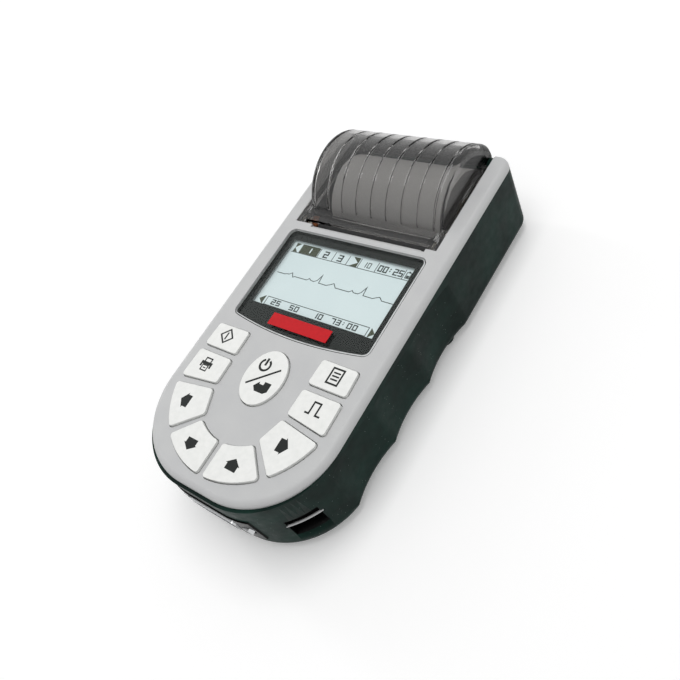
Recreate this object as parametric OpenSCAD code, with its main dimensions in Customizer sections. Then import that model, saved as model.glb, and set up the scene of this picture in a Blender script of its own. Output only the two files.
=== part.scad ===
// Hand-held single-channel ECG recorder with a built-in strip printer.
// It lies on its flat back. X runs across it, Y towards the printer, Z out of the key face.

/* [Housing] */
// Width across the sides
body_w = 88; // [84:1:94]
// Length from the socket rim to the printer end
body_l = 175; // [172:1:186]
// Height of the key face above the table
body_h = 38; // [37:0.5:42]
// Wall of the lower case
wall_t = 2; // [1.6:0.1:2.2]
// Thickness of the key face
face_t = 2.4; // [2.2:0.1:2.6]
// Depth of the light cover below the key face
cover_side_h = 3; // [2.8:0.1:3.6]
// Radius of the two curves that make the nose of the lower case
nose_r = 34.5; // [32:0.5:36]
// Radius of the two curves that make the nose of the cover
cover_nose_r = 35; // [32:0.5:36]
// Step from the nose of the cover to the nose of the case
cover_nose_step = 1.3; // [0.8:0.1:1.6]
// Corner radius at the printer end
tail_r = 6.5; // [6.2:0.1:8]
// Edge radius round the back
base_edge_r = 6; // [4:0.5:6]
// Edge radius round the key face
cover_edge_r = 2.6; // [1.5:0.1:2.6]

/* [Finger grips] */
// Number of finger hollows on each side
grip_count = 3; // [2:1:4]
// Distance from hollow to hollow
grip_pitch = 27.5; // [24:0.5:28]
// Depth of a hollow at its middle
grip_depth = 2.4; // [1.5:0.1:2.6]
// Depth that is left at the crest between two hollows
grip_crest = 0.6; // [0.2:0.1:0.8]
// Middle of the row of hollows
grip_mid_y = -16; // [-18:0.5:-14]
// Depth below the key face where the hollows run out under the straight rim
grip_top_drop = 7.6; // [7:0.2:12]

/* [Window and display] */
// Width of the window
window_w = 70.4; // [68:0.2:72]
// Top edge of the window
window_top_y = 31.3; // [30.8:0.1:31.6]
// Lowest point of its bowed lower edge
window_low_y = -18.5; // [-19:0.1:-17]
// Rise of the bowed lower edge at the corners
window_bow = 3.5; // [2:0.1:5]
// Corner radius of the window
window_r = 3; // [2:0.1:4]
// Thickness of the window
window_t = 1.4; // [1:0.1:1.5]
// Width of the picture
picture_w = 62.8; // [60:0.2:63]
// Height of the picture
picture_h = 33.7; // [32:0.1:34]
// Middle of the picture
picture_y = 9.9; // [9.5:0.1:10.5]
// Width of the label place under the picture
badge_w = 30.6; // [26:0.2:34]
// Height of the label place
badge_h = 5.6; // [4:0.1:6]

/* [Keys] */
// How far a key stands above the face
key_proud = 0.9; // [0.5:0.1:1.4]
// Travel of a key
key_travel = 0.8; // [0.5:0.1:0.8]
// Gap all round a key in its opening
key_gap = 0.35; // [0.2:0.05:0.4]
// Corner radius of the keys
key_corner_r = 1.6; // [1:0.1:2]
// Width of the lip that holds a key under the face
key_lip = 0.6; // [0.5:0.1:0.7]
// Radius of the curve round the four arrow keys
arrow_r = 39.1; // [38:0.1:39.4]
// Middle of that curve
arrow_mid_y = -40.9; // [-41:0.1:-40]
// Width of the oval key in the middle
oval_w = 19.4; // [17:0.1:19.6]
// Height of the oval key
oval_h = 24.6; // [22:0.1:24.8]
// Middle of the oval key
oval_y = -37; // [-37.4:0.1:-36.8]

/* [Printer] */
// Width of the paper
paper_w = 56; // [50:0.5:57]
// Middle of the paper, right of the centre line
paper_x = 1.9; // [1.4:0.1:2.2]
// Radius of the full paper roll
roll_r = 19; // [14:0.5:19]
// Radius of the hole in the roll core
core_bore_r = 6; // [5:0.5:7]
// Radius of the rubber roller
roller_r = 5.5; // [5:0.1:5.6]
// Diameter of the roller shaft
shaft_d = 3; // [2.5:0.1:3.2]
// Middle of the roller along the body
roller_y = 40.3; // [40:0.1:40.8]
// Depth of the middle of the roller below the key face
roller_drop = 7.4; // [7.2:0.1:8]
// Gear module
gear_mod = 0.5; // [0.45:0.01:0.5]
// Teeth on the roller gear
roller_teeth = 15; // [13:1:16]
// Teeth on the middle gear
idler_teeth = 28; // [24:1:28]
// Teeth on the motor gear
pinion_teeth = 12; // [10:1:13]
// Width of the gears
gear_w = 3.2; // [2.4:0.1:3.2]

/* [Printer door] */
// Width of the opening for the door
door_gap_w = 72.6; // [72.4:0.1:73.2]
// Clearance all round the door
door_clear = 0.3; // [0.2:0.05:0.4]
// Radius of the domed part
dome_r = 25.3; // [24.5:0.1:26]
// Middle of the dome along the body
dome_y = 67; // [66:0.1:67.5]
// Height of the middle of the dome
dome_z = 27.5; // [27:0.1:28.5]
// Half width of the domed part
dome_half_w = 33.8; // [33.2:0.1:33.9]
// Wall of the door
door_t = 1.7; // [1.4:0.1:1.8]
// Number of grooves round the dome
groove_count = 9; // [5:1:11]
// Distance from groove to groove
groove_pitch = 7.66; // [5:0.01:7.7]
// Width of a groove
groove_w = 0.7; // [0.4:0.1:1]
// Depth of a groove
groove_deep = 0.45; // [0.2:0.05:0.8]
// Diameter of the hinge pin
hinge_pin_d = 2; // [1.6:0.1:2.4]
// Radius of the hinge knuckle
knuckle_r = 3.3; // [2.8:0.1:3.3]

/* [Power and sockets] */
// Number of battery cells
cell_count = 5; // [3:1:5]
// Diameter of a battery cell
cell_d = 14.2; // [10:0.1:14.4]
// Length of a battery cell
cell_l = 49.5; // [42:0.5:50.5]
// Height of the middle of the lead socket
socket_z = 17.6; // [17:0.1:18.5]
// Width of the metal shell of the lead socket
socket_shell_w = 25; // [23:0.1:27]
// Width of the strap pocket
strap_w = 13.3; // [11:0.1:14]
// Height of the strap pocket
strap_h = 11.5; // [10:0.1:12]
// Diameter of the strap bar
strap_bar_d = 1.5; // [1.2:0.1:2]

/* [Fasteners] */
// Diameter of the case screws
screw_d = 2.2; // [1.8:0.1:2.4]
// Diameter of their heads
screw_head_d = 4.4; // [3.8:0.1:4.6]

/* [Hidden] */
$fn = 64;

// Fits: radial play of a running or screwed fit, pinch of a press fit, plain clearance
fit = 0.05;
pinch = 0.01;
slack = 0.3;
eps = 0.01;

// Housing places
half_w = body_w / 2;
tail_y = body_l / 2;
socket_proud = 1.2;
nose_y = -body_l / 2 + socket_proud;
cover_nose_y = nose_y + cover_nose_step;
split_z = body_h - cover_side_h;
under_face = body_h - face_t;
grip_top_z = body_h - grip_top_drop;
floor_z = wall_t + 0.2;
grip_in = grip_depth + wall_t;
bay_half_w = half_w - grip_in;
printer_bay_y = 28.5;
tail_wall_z = body_h - 8;

// Door and hinge places
door_half_w = door_gap_w / 2 - door_clear;
door_gap_y = 35.7;
lip_gap_y = 34.2;
door_top_z = body_h - 0.1;
door_strip_z = door_top_z - door_t;
door_strip_y = 37.6;
dome_end_r = 2.5;
hinge_y = tail_y - knuckle_r;
hinge_z = tail_wall_z + knuckle_r + 0.7;
lug_in = dome_half_w + 0.4;
knuckle_out = lug_in - slack;

// Printer places
roller_z = body_h - roller_drop;
roll_y = 65;
roll_z = 23.8;
well_r = roll_r + 1.2;
well_t = 1.2;
well_z = roll_z + (well_r - roll_r) - slack;
well_front_z = 11.5;
paper_left = paper_x - paper_w / 2;
paper_right = paper_x + paper_w / 2;
well_left = paper_left - 0.5;
well_right = paper_right + 0.5;
knuckle_in = paper_right + 0.5;
cheek_in = 32.7;
cheek_t = 1.3;
plate_t = 1.2;
plate_out = door_half_w - 0.2;
bush_d = shaft_d + 2;
gear_x = paper_left - 2.1 - gear_w;
gear_end_x = gear_x + gear_w;
platen_pitch_r = gear_mod * roller_teeth / 2;
idler_pitch_r = gear_mod * idler_teeth / 2;
pinion_pitch_r = gear_mod * pinion_teeth / 2;
tooth_tip = 0.9;
tooth_root = 1.15;
idler_dir = -90;
idler_y = roller_y + (platen_pitch_r + idler_pitch_r) * cos(idler_dir);
idler_z = roller_z + (platen_pitch_r + idler_pitch_r) * sin(idler_dir);
motor_r = 7;
motor_z = max(idler_z - 8.25, floor_z + motor_r + 0.4);
pinion_dir = -180 + asin((idler_z - motor_z) / (idler_pitch_r + pinion_pitch_r));
motor_y = idler_y + (idler_pitch_r + pinion_pitch_r) * cos(pinion_dir);
motor_l = 13;
motor_ear = 9;
motor_shaft_d = 1.5;
stub_d = 2.4;
gear_plate_x = gear_end_x + 0.6;
motor_x = gear_plate_x + plate_t;
head_y = roller_y - roller_r - 0.5;
head_t = 1;
head_top_z = roller_z + 4.4;
head_low_z = roller_z - 6.1;
sink_t = 2.6;
sink_y = head_y - head_t - sink_t;
frame_front_y = sink_y - 0.5;
strip_t = 0.12;
strip_gap = 0.2;
tear_bar_t = 1.2;
tear_bar_top = body_h - 0.8;

// Window and display places
window_z = body_h - 0.1 - window_t;
mask_t = 0.1;
seat_z = window_z - mask_t;
lcd_half_w = 34.2;
lcd_low_y = -10.4;
lcd_high_y = 29.4;
lcd_top_z = under_face;
lcd_frame_t = 0.4;
lcd_glass_t = 1.4;
lcd_guide_t = 2;
lcd_glass_z = lcd_top_z - lcd_frame_t - lcd_glass_t;
badge_y = picture_y / 2 - picture_h / 4 + window_low_y / 2 + 0.3;

// Boards and keys
board_t = 1.6;
board_half_w = 33.8;
key_board_z = body_h - 7.4;
key_board_top = key_board_z + board_t;
key_board_low_y = -81;
key_board_high_y = -19.5;
key_pin_r = 1.8;
key_pin_places = [for (x = [-12.5, 12.5], y = [-52.5, -24]) [x, y]];
main_board_low_y = -60;
main_board_high_y = 24.5;
pillar_places = [for (x = [-28, 28], y = [-56, 20]) [x, y]];
pillar_r = 2.2;
dome_h = 0.5;
key_top_z = body_h + key_proud;
lip_top_z = under_face - 0.1;
lip_t = 0.9;
stem_low_z = key_board_top + dome_h + 0.05 + key_travel;
stem_d = 4;

// Power
cell_y = -10.5;
cell_gap = 0.3;
cell_z = 2.8 + cell_d / 2;
cell_step = cell_d + cell_gap;
contact_t = 0.3;
contact_gap = 0.05;
box_wall = 1.2;
box_half_w = cell_count * cell_step / 2 + 0.6;
box_low_y = cell_y - cell_l / 2 - contact_t - 2 * contact_gap;
box_high_y = cell_y + cell_l / 2 + contact_t + 2 * contact_gap;
box_top_z = cell_z + cell_d / 2 + 0.6;
main_board_z = box_top_z + box_wall + 0.23 * (key_board_z - box_top_z - box_wall);
main_board_top = main_board_z + board_t;
lid_half_w = box_half_w - 0.2;
lid_t = 2;
lid_flange = 6;
lid_tongue_x = 22;

// Lead socket, dc socket and strap pocket
bezel_w = 41;
bezel_h = 16;
bezel_proud = 0.6;
flange_y = nose_y + 3;
flange_t = 1;
insert_back_y = flange_y + 7;
nut_x = 16.65;
nut_d = 5.2;
nut_shank_d = 3;
dc_x = -32.4;
dc_z = 14;
dc_half_w = 4;
dc_l = 11;
dc_nose_d = 6.4;
strap_dir = -39.5;
strap_deep = 5.2;
strap_wall = 1.4;
strap_bar_in = 1.1;
strap_bar_up = 1.7;

// Fasteners: two rows of three posts
frame_screw_x = 38.4;
frame_screw_y = 41;
frame_screw_d = 2;
frame_tab_z = motor_z + motor_r + 0.4;
post_r = 2.4;
post_foot_r = 3.7;
post_x = bay_half_w - post_r - 0.2;
nose_post_x = 13.5;
tail_post_x = half_w - wall_t - post_r - 0.3;
post_places = [[-nose_post_x, -48], [nose_post_x, -48], [-post_x, 20], [post_x, 20],
  [-tail_post_x, 80.5], [tail_post_x, 80.5]];
post_split_z = 20;
screw_head_h = 1.6;
screw_seat_z = 3;
case_screw_l = 25;
lid_head_h = 1;
lid_seat_z = 1.1;
lid_screw_l = 4;
lid_screw_places = [for (x = [-20, 20]) [x, box_low_y - 3.2]];

// ---------------------------------------------------------------- shared shapes

// Outline with a wide nose radius at the front and a small one at the back
module plan(hw, front_y, front_r, back_y, back_r) {
  translate([-hw, front_y + front_r]) square([2 * hw, back_y - back_r - front_y - front_r]);
  translate([-hw + front_r, front_y]) square([2 * (hw - front_r), front_r + 1]);
  translate([-hw + back_r, back_y - back_r - 1]) square([2 * (hw - back_r), back_r + 1]);
  for (s = [-1, 1]) {
    translate([s * (hw - front_r), front_y + front_r]) circle(front_r, $fn = 128);
    translate([s * (hw - back_r), back_y - back_r]) circle(back_r);
  }
}

// A quarter turn of a rounded edge, on a corner of radius r
module edge_bead(r, e) {
  rotate_extrude(angle = 90, $fn = 96) intersection() {
    translate([r - e, 0]) circle(e);
    translate([0, -e]) square([r, e + eps]);
  }
}

// The outline raised to h, with its lower edge rounded to e
module rounded_slab(hw, front_y, front_r, back_y, back_r, h, e) {
  translate([0, 0, e]) linear_extrude(h - e) plan(hw, front_y, front_r, back_y, back_r);
  linear_extrude(e + eps)
    plan(hw - e, front_y + e, front_r - e, back_y - e, max(back_r - e, 0.2));
  intersection() {
    union() {
      for (s = [-1, 1]) translate([s * (hw - e), front_y + front_r, e])
        rotate([-90, 0, 0]) cylinder(r = e, h = back_y - back_r - front_y - front_r);
      translate([front_r - hw, front_y + e, e])
        rotate([0, 90, 0]) cylinder(r = e, h = 2 * (hw - front_r));
      translate([back_r - hw, back_y - e, e])
        rotate([0, 90, 0]) cylinder(r = e, h = 2 * (hw - back_r));
      for (s = [0, 1]) mirror([s, 0, 0]) {
        translate([hw - front_r, front_y + front_r, e]) rotate(-90) edge_bead(front_r, e);
        translate([hw - back_r, back_y - back_r, e]) edge_bead(back_r, e);
      }
    }
    translate([-hw - 1, front_y - 1, 0]) cube([2 * hw + 2, back_y - front_y + 2, e + eps]);
  }
}

// A cylinder along X between two X values
module x_rod(r, x0, x1) {
  translate([x0, 0, 0]) rotate([0, 90, 0]) cylinder(r = r, h = x1 - x0);
}

module box(x0, x1, y0, y1, z0, z1) {
  translate([x0, y0, z0]) cube([x1 - x0, y1 - y0, z1 - z0]);
}

module at_yz(y, z) {
  translate([0, y, z]) children();
}

// ---------------------------------------------------------------- key outlines

module soft_corners() {
  offset(r = key_corner_r, $fn = 24) offset(delta = -key_corner_r) children();
}

// Outline of one key, on the right-hand side or in the middle
module key_plan(kind) {
  if (kind == "power") translate([0, oval_y])
    polygon([for (a = [0 : 6 : 354]) [oval_w / 2 * cos(a), oval_h / 2 * sin(a)]]);
  if (kind == "menu") soft_corners()
    polygon([[19.2, -21.5], [36.6, -21.7], [37.2, -32.9], [18.9, -32.9]]);
  if (kind == "pulse") soft_corners()
    polygon([[18.8, -35], [37.4, -35], [37.8, -48.9], [18.5, -46.5]]);
  if (kind == "side_arrow") soft_corners() intersection() {
    polygon([[18.3, -48.6], [38.4, -51.6], [38.4, -58], [27.8, -71], [14.3, -59.1]]);
    translate([0, arrow_mid_y]) circle(arrow_r, $fn = 96);
  }
  if (kind == "low_arrow") soft_corners() difference() {
    intersection() {
      polygon([[1.1, -60], [12.7, -60], [24.5, -72], [20, -82], [1.1, -82]]);
      translate([0, arrow_mid_y]) circle(arrow_r, $fn = 96);
    }
    translate([0, arrow_mid_y]) circle(arrow_r - 14.6, $fn = 96);
  }
}

// name, outline, mirrored to the left, stem place
KEYS = [["power", "power", 0, [0, oval_y]],
  ["lead", "menu", 1, [28, -27.2]], ["menu", "menu", 0, [28, -27.2]],
  ["print", "pulse", 1, [28, -41.4]], ["pulse", "pulse", 0, [28, -41.4]],
  ["left", "side_arrow", 1, [27, -58.5]], ["right", "side_arrow", 0, [27, -58.5]],
  ["down", "low_arrow", 1, [11.6, -71.5]], ["up", "low_arrow", 0, [11.6, -71.5]]];

module key_side(k) {
  mirror([k[2], 0, 0]) children();
}

module stem_places() {
  for (k = KEYS) key_side(k) translate(k[3]) children();
}

// White cap, with a lip under the face and a stem that reaches down to its dome
module key_cap(name) {
  for (k = KEYS) if (k[0] == name) key_side(k) color("whitesmoke") {
    translate([0, 0, lip_top_z - eps]) linear_extrude(key_top_z - lip_top_z + eps)
      offset(delta = -key_gap) key_plan(k[1]);
    translate([0, 0, lip_top_z - lip_t]) linear_extrude(lip_t)
      offset(delta = key_lip) key_plan(k[1]);
    translate([k[3][0], k[3][1], stem_low_z])
      cylinder(d = stem_d, h = lip_top_z - lip_t - stem_low_z + eps);
  }
}

// ---------------------------------------------------------------- housing

module cover_body() {
  translate([0, 0, body_h]) mirror([0, 0, 1])
    rounded_slab(half_w, cover_nose_y, cover_nose_r, tail_y, tail_r,
      cover_side_h, cover_edge_r);
}

module case_body() {
  rounded_slab(half_w, nose_y, nose_r, tail_y, tail_r, split_z, base_edge_r);
}

// Inside of the lower case: narrow along the grips, wide at the printer
module case_inside(z0, z1) {
  e = 3;
  translate([0, 0, z0]) {
    rounded_slab(bay_half_w, nose_y + wall_t + 0.6, nose_r - 5, printer_bay_y + 4, 3.2, z1 - z0, e);
    rounded_slab(half_w - wall_t, printer_bay_y, 3.2, tail_y - wall_t, tail_r - wall_t + 0.5,
      z1 - z0, e);
  }
}

// Cutter for one finger hollow, with a rounded foot and a sloped head
module grip_cutter() {
  chord = grip_pitch / 2;
  rise = grip_depth - grip_crest;
  r = (chord * chord + rise * rise) / (2 * rise);
  e = base_edge_r;
  head = grip_depth + 0.2;
  translate([half_w - grip_depth + r, 0, 0]) rotate_extrude($fn = 360) {
    translate([r - 12, 0]) square([12, grip_top_z]);
    difference() {
      translate([r - 1, -1]) square([e + 1, e + 1]);
      translate([r + e, e]) circle(e);
      translate([r + e, -2]) square([e, e + 2]);
    }
    translate([r - 12, -1]) square([12, 2]);
    polygon([[r - 12, grip_top_z - eps], [r, grip_top_z - eps],
      [r - head, grip_top_z + head], [r - 12, grip_top_z + head]]);
  }
}

module grips() {
  for (s = [0, 1], i = [0 : grip_count - 1]) mirror([s, 0, 0])
    translate([0, grip_mid_y + (i - (grip_count - 1) / 2) * grip_pitch, 0]) grip_cutter();
}

// Place of the strap pocket on the nose curve, X pointing outwards
module at_strap() {
  translate([half_w - nose_r, nose_y + nose_r, socket_z - 0.4]) rotate(strap_dir)
    translate([nose_r, 0, 0]) children();
}

module lower_case() color([0.07, 0.13, 0.115]) difference() {
  union() {
    difference() {
      case_body();
      case_inside(floor_z, split_z + 5);
      grips();
      // open end for the door
      box(-lug_in + slack, lug_in - slack, tail_y - 9, tail_y + 1, tail_wall_z, split_z + 1);
      // lips of the door run over the end wall beside the lugs
      box(-door_gap_w / 2, door_gap_w / 2, tail_y - 2 * knuckle_r - 1, tail_y + 1,
        hinge_z, split_z + 1);
    }
    // hinge lugs
    for (s = [0, 1]) mirror([s, 0, 0]) {
      at_yz(hinge_y, hinge_z) x_rod(knuckle_r, lug_in, door_half_w);
      box(lug_in, door_half_w, hinge_y - knuckle_r, tail_y, hinge_z - 14, hinge_z);
    }
    intersection() {
      union() {
        // screw posts, with a wider foot round the heads
        for (p = post_places) translate([p[0], p[1], 0]) {
          cylinder(r = post_r, h = post_split_z);
          cylinder(r = post_foot_r, h = screw_seat_z + 1.6);
        }
        // battery box and the thick floor that takes the lid screws
        difference() {
          box(-box_half_w - box_wall, box_half_w + box_wall,
            box_low_y - box_wall, box_high_y + box_wall, 1, box_top_z + box_wall);
          box(-box_half_w, box_half_w, box_low_y, box_high_y, -1, box_top_z);
        }
        box(-box_half_w - box_wall, box_half_w + box_wall, box_low_y - lid_flange - box_wall,
          box_low_y - eps, 1, lid_t + 3.6);
        // pillars for the main board
        for (p = pillar_places) translate([p[0], p[1], 1])
          cylinder(r = pillar_r, h = main_board_z - 1);
        // pillars for the printer frame
        for (x = [-1, 1]) translate([x * frame_screw_x, frame_screw_y, 1])
          cylinder(r = 2.3, h = frame_tab_z - 1);
        // rest of the dc socket
        box(dc_x - dc_half_w, dc_x + dc_half_w, tail_y - wall_t - dc_l, tail_y - 1,
          1, dc_z - dc_nose_d / 2 - 1.4);
        // thick wall behind the strap pocket
        at_strap() box(-strap_deep - strap_wall, 0, -strap_w / 2 - strap_wall,
          strap_w / 2 + strap_wall, -strap_h / 2 - strap_wall, strap_h / 2 + strap_wall);
        // frame behind the lead socket
        box(-bezel_w / 2 - 1, bezel_w / 2 + 1, flange_y, flange_y + 2.2,
          1, socket_z + bezel_h / 2 + 1.5);
      }
      case_body();
    }
  }
  // screw holes
  for (p = post_places) translate([p[0], p[1], 0]) {
    translate([0, 0, -1]) cylinder(d = screw_head_d + 0.6, h = screw_seat_z + 1);
    translate([0, 0, 1]) cylinder(d = screw_d + 0.5, h = post_split_z);
  }
  for (p = lid_screw_places) translate([p[0], p[1], 1])
    cylinder(d = screw_d + 2 * fit, h = lid_seat_z + lid_screw_l);
  for (x = [-1, 1]) translate([x * frame_screw_x, frame_screw_y, frame_tab_z - 6])
    cylinder(d = frame_screw_d + 2 * fit, h = 7);
  // battery opening and seat for the lid
  box(-lid_half_w - slack, lid_half_w + slack, box_low_y - lid_flange, box_high_y - 1,
    -1, lid_t + 0.1);
  box(-box_half_w, box_half_w, box_low_y, box_high_y - 1, -1, 4);
  for (s = [-1, 1]) translate([s * lid_tongue_x, 0, 0])
    box(-4.3, 4.3, box_high_y - 2, box_high_y + 0.6, lid_t - 0.8, lid_t + 0.2);
  // lead socket
  translate([0, 0, socket_z]) box(-bezel_w / 2, bezel_w / 2, nose_y - 5, flange_y,
    -bezel_h / 2, bezel_h / 2);
  translate([0, 0, socket_z]) box(-20.2, 20.2, nose_y + 1, flange_y + 3, -6.6, 6.6);
  // strap pocket and the seats for its bar
  at_strap() box(-strap_deep, 3, -strap_w / 2, strap_w / 2, -strap_h / 2, strap_h / 2);
  at_strap() translate([-strap_bar_in, 0, strap_bar_up]) rotate([90, 0, 0])
    cylinder(d = strap_bar_d + 2 * fit, h = strap_w + 2, center = true);
  // hinge pins
  for (s = [0, 1]) mirror([s, 0, 0]) at_yz(hinge_y, hinge_z)
    x_rod(hinge_pin_d / 2 + fit, lug_in - 1, door_half_w + 0.1);
  // dc socket
  translate([dc_x, tail_y - 3, dc_z]) rotate([-90, 0, 0]) cylinder(d = dc_nose_d + 0.2, h = 4);
}

// Outline of the window, with its lower edge bowed and its corners round
module window_plan(grow) {
  hw = window_w / 2;
  bow_r = (hw * hw + window_bow * window_bow) / (2 * window_bow);
  offset(r = window_r + grow, $fn = 48) offset(delta = -window_r) intersection() {
    translate([-hw, window_low_y]) square([window_w, window_top_y - window_low_y]);
    translate([0, window_low_y + bow_r]) circle(bow_r, $fn = 360);
  }
}

module top_cover() color([0.76, 0.77, 0.77]) difference() {
  union() {
    difference() {
      cover_body();
      // hollow under the face
      translate([0, 0, split_z - 1]) linear_extrude(under_face - split_z + 1)
        plan(half_w - wall_t, cover_nose_y + wall_t, cover_nose_r - wall_t,
          tail_y - wall_t, tail_r - wall_t);
    }
    // screw posts
    for (p = post_places) translate([p[0], p[1], post_split_z])
      cylinder(r = post_r, h = under_face - post_split_z + 0.5);
    // pins that carry the key board
    for (p = key_pin_places) translate([p[0], p[1], key_board_top])
      cylinder(r = key_pin_r, h = under_face - key_board_top + 0.5);
  }
  for (p = post_places) translate([p[0], p[1], post_split_z - 1])
    cylinder(d = screw_d + 2 * fit, h = screw_seat_z + case_screw_l + 2 - post_split_z);
  // window seat and display opening
  translate([0, 0, seat_z]) linear_extrude(face_t) window_plan(0.15);
  box(-picture_w / 2 - 1.5, picture_w / 2 + 1.5, picture_y - picture_h / 2 - 1.2,
    picture_y + picture_h / 2 + 1.2, under_face - 1, body_h);
  // key openings
  translate([0, 0, under_face - 1]) for (k = KEYS) key_side(k)
    linear_extrude(face_t + 2) key_plan(k[1]);
  // door opening, with a step for the paper to come out
  box(-door_gap_w / 2, door_gap_w / 2, door_gap_y, tail_y + 1, split_z - 1, body_h + 1);
  box(paper_left - 0.6, paper_right + 1.6, lip_gap_y, door_gap_y + 1, split_z - 1, body_h + 1);
  // seat of the tear bar under the edge of that step
  box(paper_left - 0.6, paper_right + 1.6, lip_gap_y - tear_bar_t - fit, lip_gap_y + 1,
    under_face - 1, tear_bar_top + fit);
}

module battery_lid() color([0.07, 0.13, 0.115]) difference() {
  union() {
    box(-lid_half_w, lid_half_w, box_low_y - lid_flange + 0.2, box_high_y - 1.2, 0, lid_t);
    // tongues that hook behind the opening
    for (s = [-1, 1]) translate([s * lid_tongue_x, 0, 0])
      box(-4, 4, box_high_y - 3, box_high_y + 0.3, lid_t - 0.6, lid_t);
  }
  for (p = lid_screw_places) translate([p[0], p[1], -1]) {
    cylinder(d = screw_head_d + 0.4, h = lid_seat_z + 1);
    cylinder(d = screw_d + 0.3, h = 5);
  }
  // finger ribs
  for (i = [0 : 4]) box(-9, 9, box_high_y - 9 - 2 * i, box_high_y - 8.2 - 2 * i, -1, 0.5);
}

// Screw with its head down and a cross in it, shank upwards from the head's seat
module screw(seat_z, head_h, reach) {
  difference() {
    translate([0, 0, seat_z - head_h]) cylinder(d = screw_head_d, h = head_h);
    for (a = [0, 90]) rotate(a) translate([-1.4, -0.3, seat_z - head_h - 1])
      cube([2.8, 0.6, 1 + head_h * 0.6]);
  }
  translate([0, 0, seat_z - eps]) cylinder(d = screw_d, h = reach + eps);
}

module case_screws() color("silver") for (p = post_places)
  translate([p[0], p[1], 0]) screw(screw_seat_z, screw_head_h, case_screw_l);

module lid_screws() color("silver") for (p = lid_screw_places)
  translate([p[0], p[1], 0]) screw(lid_seat_z, lid_head_h, lid_screw_l);

module window() color([0.8, 0.85, 0.85, 0.3]) translate([0, 0, window_z])
  linear_extrude(window_t) window_plan(0);

module window_mask() color([0.1, 0.13, 0.12]) translate([0, 0, seat_z]) difference() {
  linear_extrude(mask_t) window_plan(0);
  box(-picture_w / 2, picture_w / 2, picture_y - picture_h / 2, picture_y + picture_h / 2, -1, 1);
}

module badge_plate() color([0.78, 0.1, 0.1]) translate([0, badge_y, window_z + window_t])
  translate([-badge_w / 2, -badge_h / 2, 0]) cube([badge_w, badge_h, 0.08]);

// ---------------------------------------------------------------- display

module lcd_layer(z0, z1, edge) {
  box(-lcd_half_w + edge, lcd_half_w - edge, lcd_low_y + edge, lcd_high_y - edge, z0, z1);
}

module lcd_frame() color("silver") difference() {
  lcd_layer(key_board_z + 0.2, lcd_top_z, 0);
  lcd_layer(key_board_z - 1, lcd_top_z - lcd_frame_t, 0.5);
  box(-picture_w / 2 - 0.8, picture_w / 2 + 0.8, picture_y - picture_h / 2 - 0.8,
    picture_y + picture_h / 2 + 0.8, lcd_top_z - 1, lcd_top_z + 1);
}

module lcd_glass() color([0.82, 0.9, 0.9])
  lcd_layer(lcd_glass_z, lcd_glass_z + lcd_glass_t, 0.6);

module lcd_light_guide() color("ivory")
  lcd_layer(lcd_glass_z - lcd_guide_t, lcd_glass_z, 0.7);

// ---------------------------------------------------------------- boards and keys

module main_board() color([0.08, 0.35, 0.2]) difference() {
  box(-board_half_w, board_half_w, main_board_low_y, main_board_high_y,
    main_board_z, main_board_top);
  for (p = pillar_places) translate([p[0], p[1], main_board_z - 1]) cylinder(d = 2.4, h = 4);
  nose_post_holes(main_board_z);
}

// Holes that let the two front screw posts through a board or the mat
module nose_post_holes(z) {
  for (s = [-1, 1]) translate([s * nose_post_x, post_places[0][1], z - 1])
    cylinder(r = post_r + slack, h = board_t + 2);
}

module key_board_plan() {
  plan(board_half_w, key_board_low_y, nose_r - 6, key_board_high_y, 1);
}

module key_board() color([0.08, 0.35, 0.2]) difference() {
  translate([0, 0, key_board_z]) linear_extrude(board_t) key_board_plan();
  for (p = key_pin_places) translate([p[0], p[1], key_board_z - 1]) cylinder(d = 2, h = 4);
  nose_post_holes(key_board_z);
}

module board_header() color([0.1, 0.1, 0.1])
  box(-14, 14, -31, -27.5, main_board_top, key_board_z);

// left, front, width, depth and height of each chip, and one round capacitor
CHIPS = [[-8, -8, 16, 16, 1.6], [-28, -6, 10, 10, 1.4], [16, -14, 12, 8, 1.4],
  [-28, -50, 10, 8, 2.2], [18, -50, 8, 8, 2.2]];
module board_chips() color([0.12, 0.12, 0.13]) translate([0, 0, main_board_top]) {
  for (c = CHIPS) translate([c[0], c[1], 0]) cube([c[2], c[3], c[4]]);
  translate([22, 10, 0]) cylinder(d = 8, h = 0.8 * (key_board_z - main_board_top));
}

dome_d = 8;
module key_domes() color("gainsboro") stem_places()
  translate([0, 0, key_board_top]) cylinder(d1 = dome_d, d2 = 3, h = dome_h);

module key_mat() color([0.75, 0.75, 0.72]) difference() {
  translate([0, 0, key_board_top]) linear_extrude(0.6) key_board_plan();
  stem_places() translate([0, 0, key_board_top - 1]) cylinder(d = dome_d + 2 * slack, h = 3);
  for (p = key_pin_places) translate([p[0], p[1], key_board_top - 1])
    cylinder(r = key_pin_r + slack, h = 4);
  nose_post_holes(key_board_top);
}

module key_power() key_cap("power");
module key_lead() key_cap("lead");
module key_menu() key_cap("menu");
module key_print() key_cap("print");
module key_pulse() key_cap("pulse");
module key_left() key_cap("left");
module key_right() key_cap("right");
module key_down() key_cap("down");
module key_up() key_cap("up");

// ---------------------------------------------------------------- printer

// Spur gear along X, one tooth at the angle of phase
module spur(teeth, x0, x1, phase, bore) {
  r = gear_mod * teeth / 2;
  tip = r + gear_mod * tooth_tip;
  root = r - gear_mod * tooth_root;
  step = 360 / teeth;
  tooth = [[root, -0.34], [tip, -0.14], [tip, 0.14], [root, 0.34]];
  translate([x0, 0, 0]) rotate([90, 0, 90]) linear_extrude(x1 - x0) difference() {
    polygon([for (i = [0 : teeth - 1], c = tooth)
      [c[0] * cos(phase + (i + c[1]) * step), c[0] * sin(phase + (i + c[1]) * step)]]);
    circle(d = bore, $fn = 48);
  }
}

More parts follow.
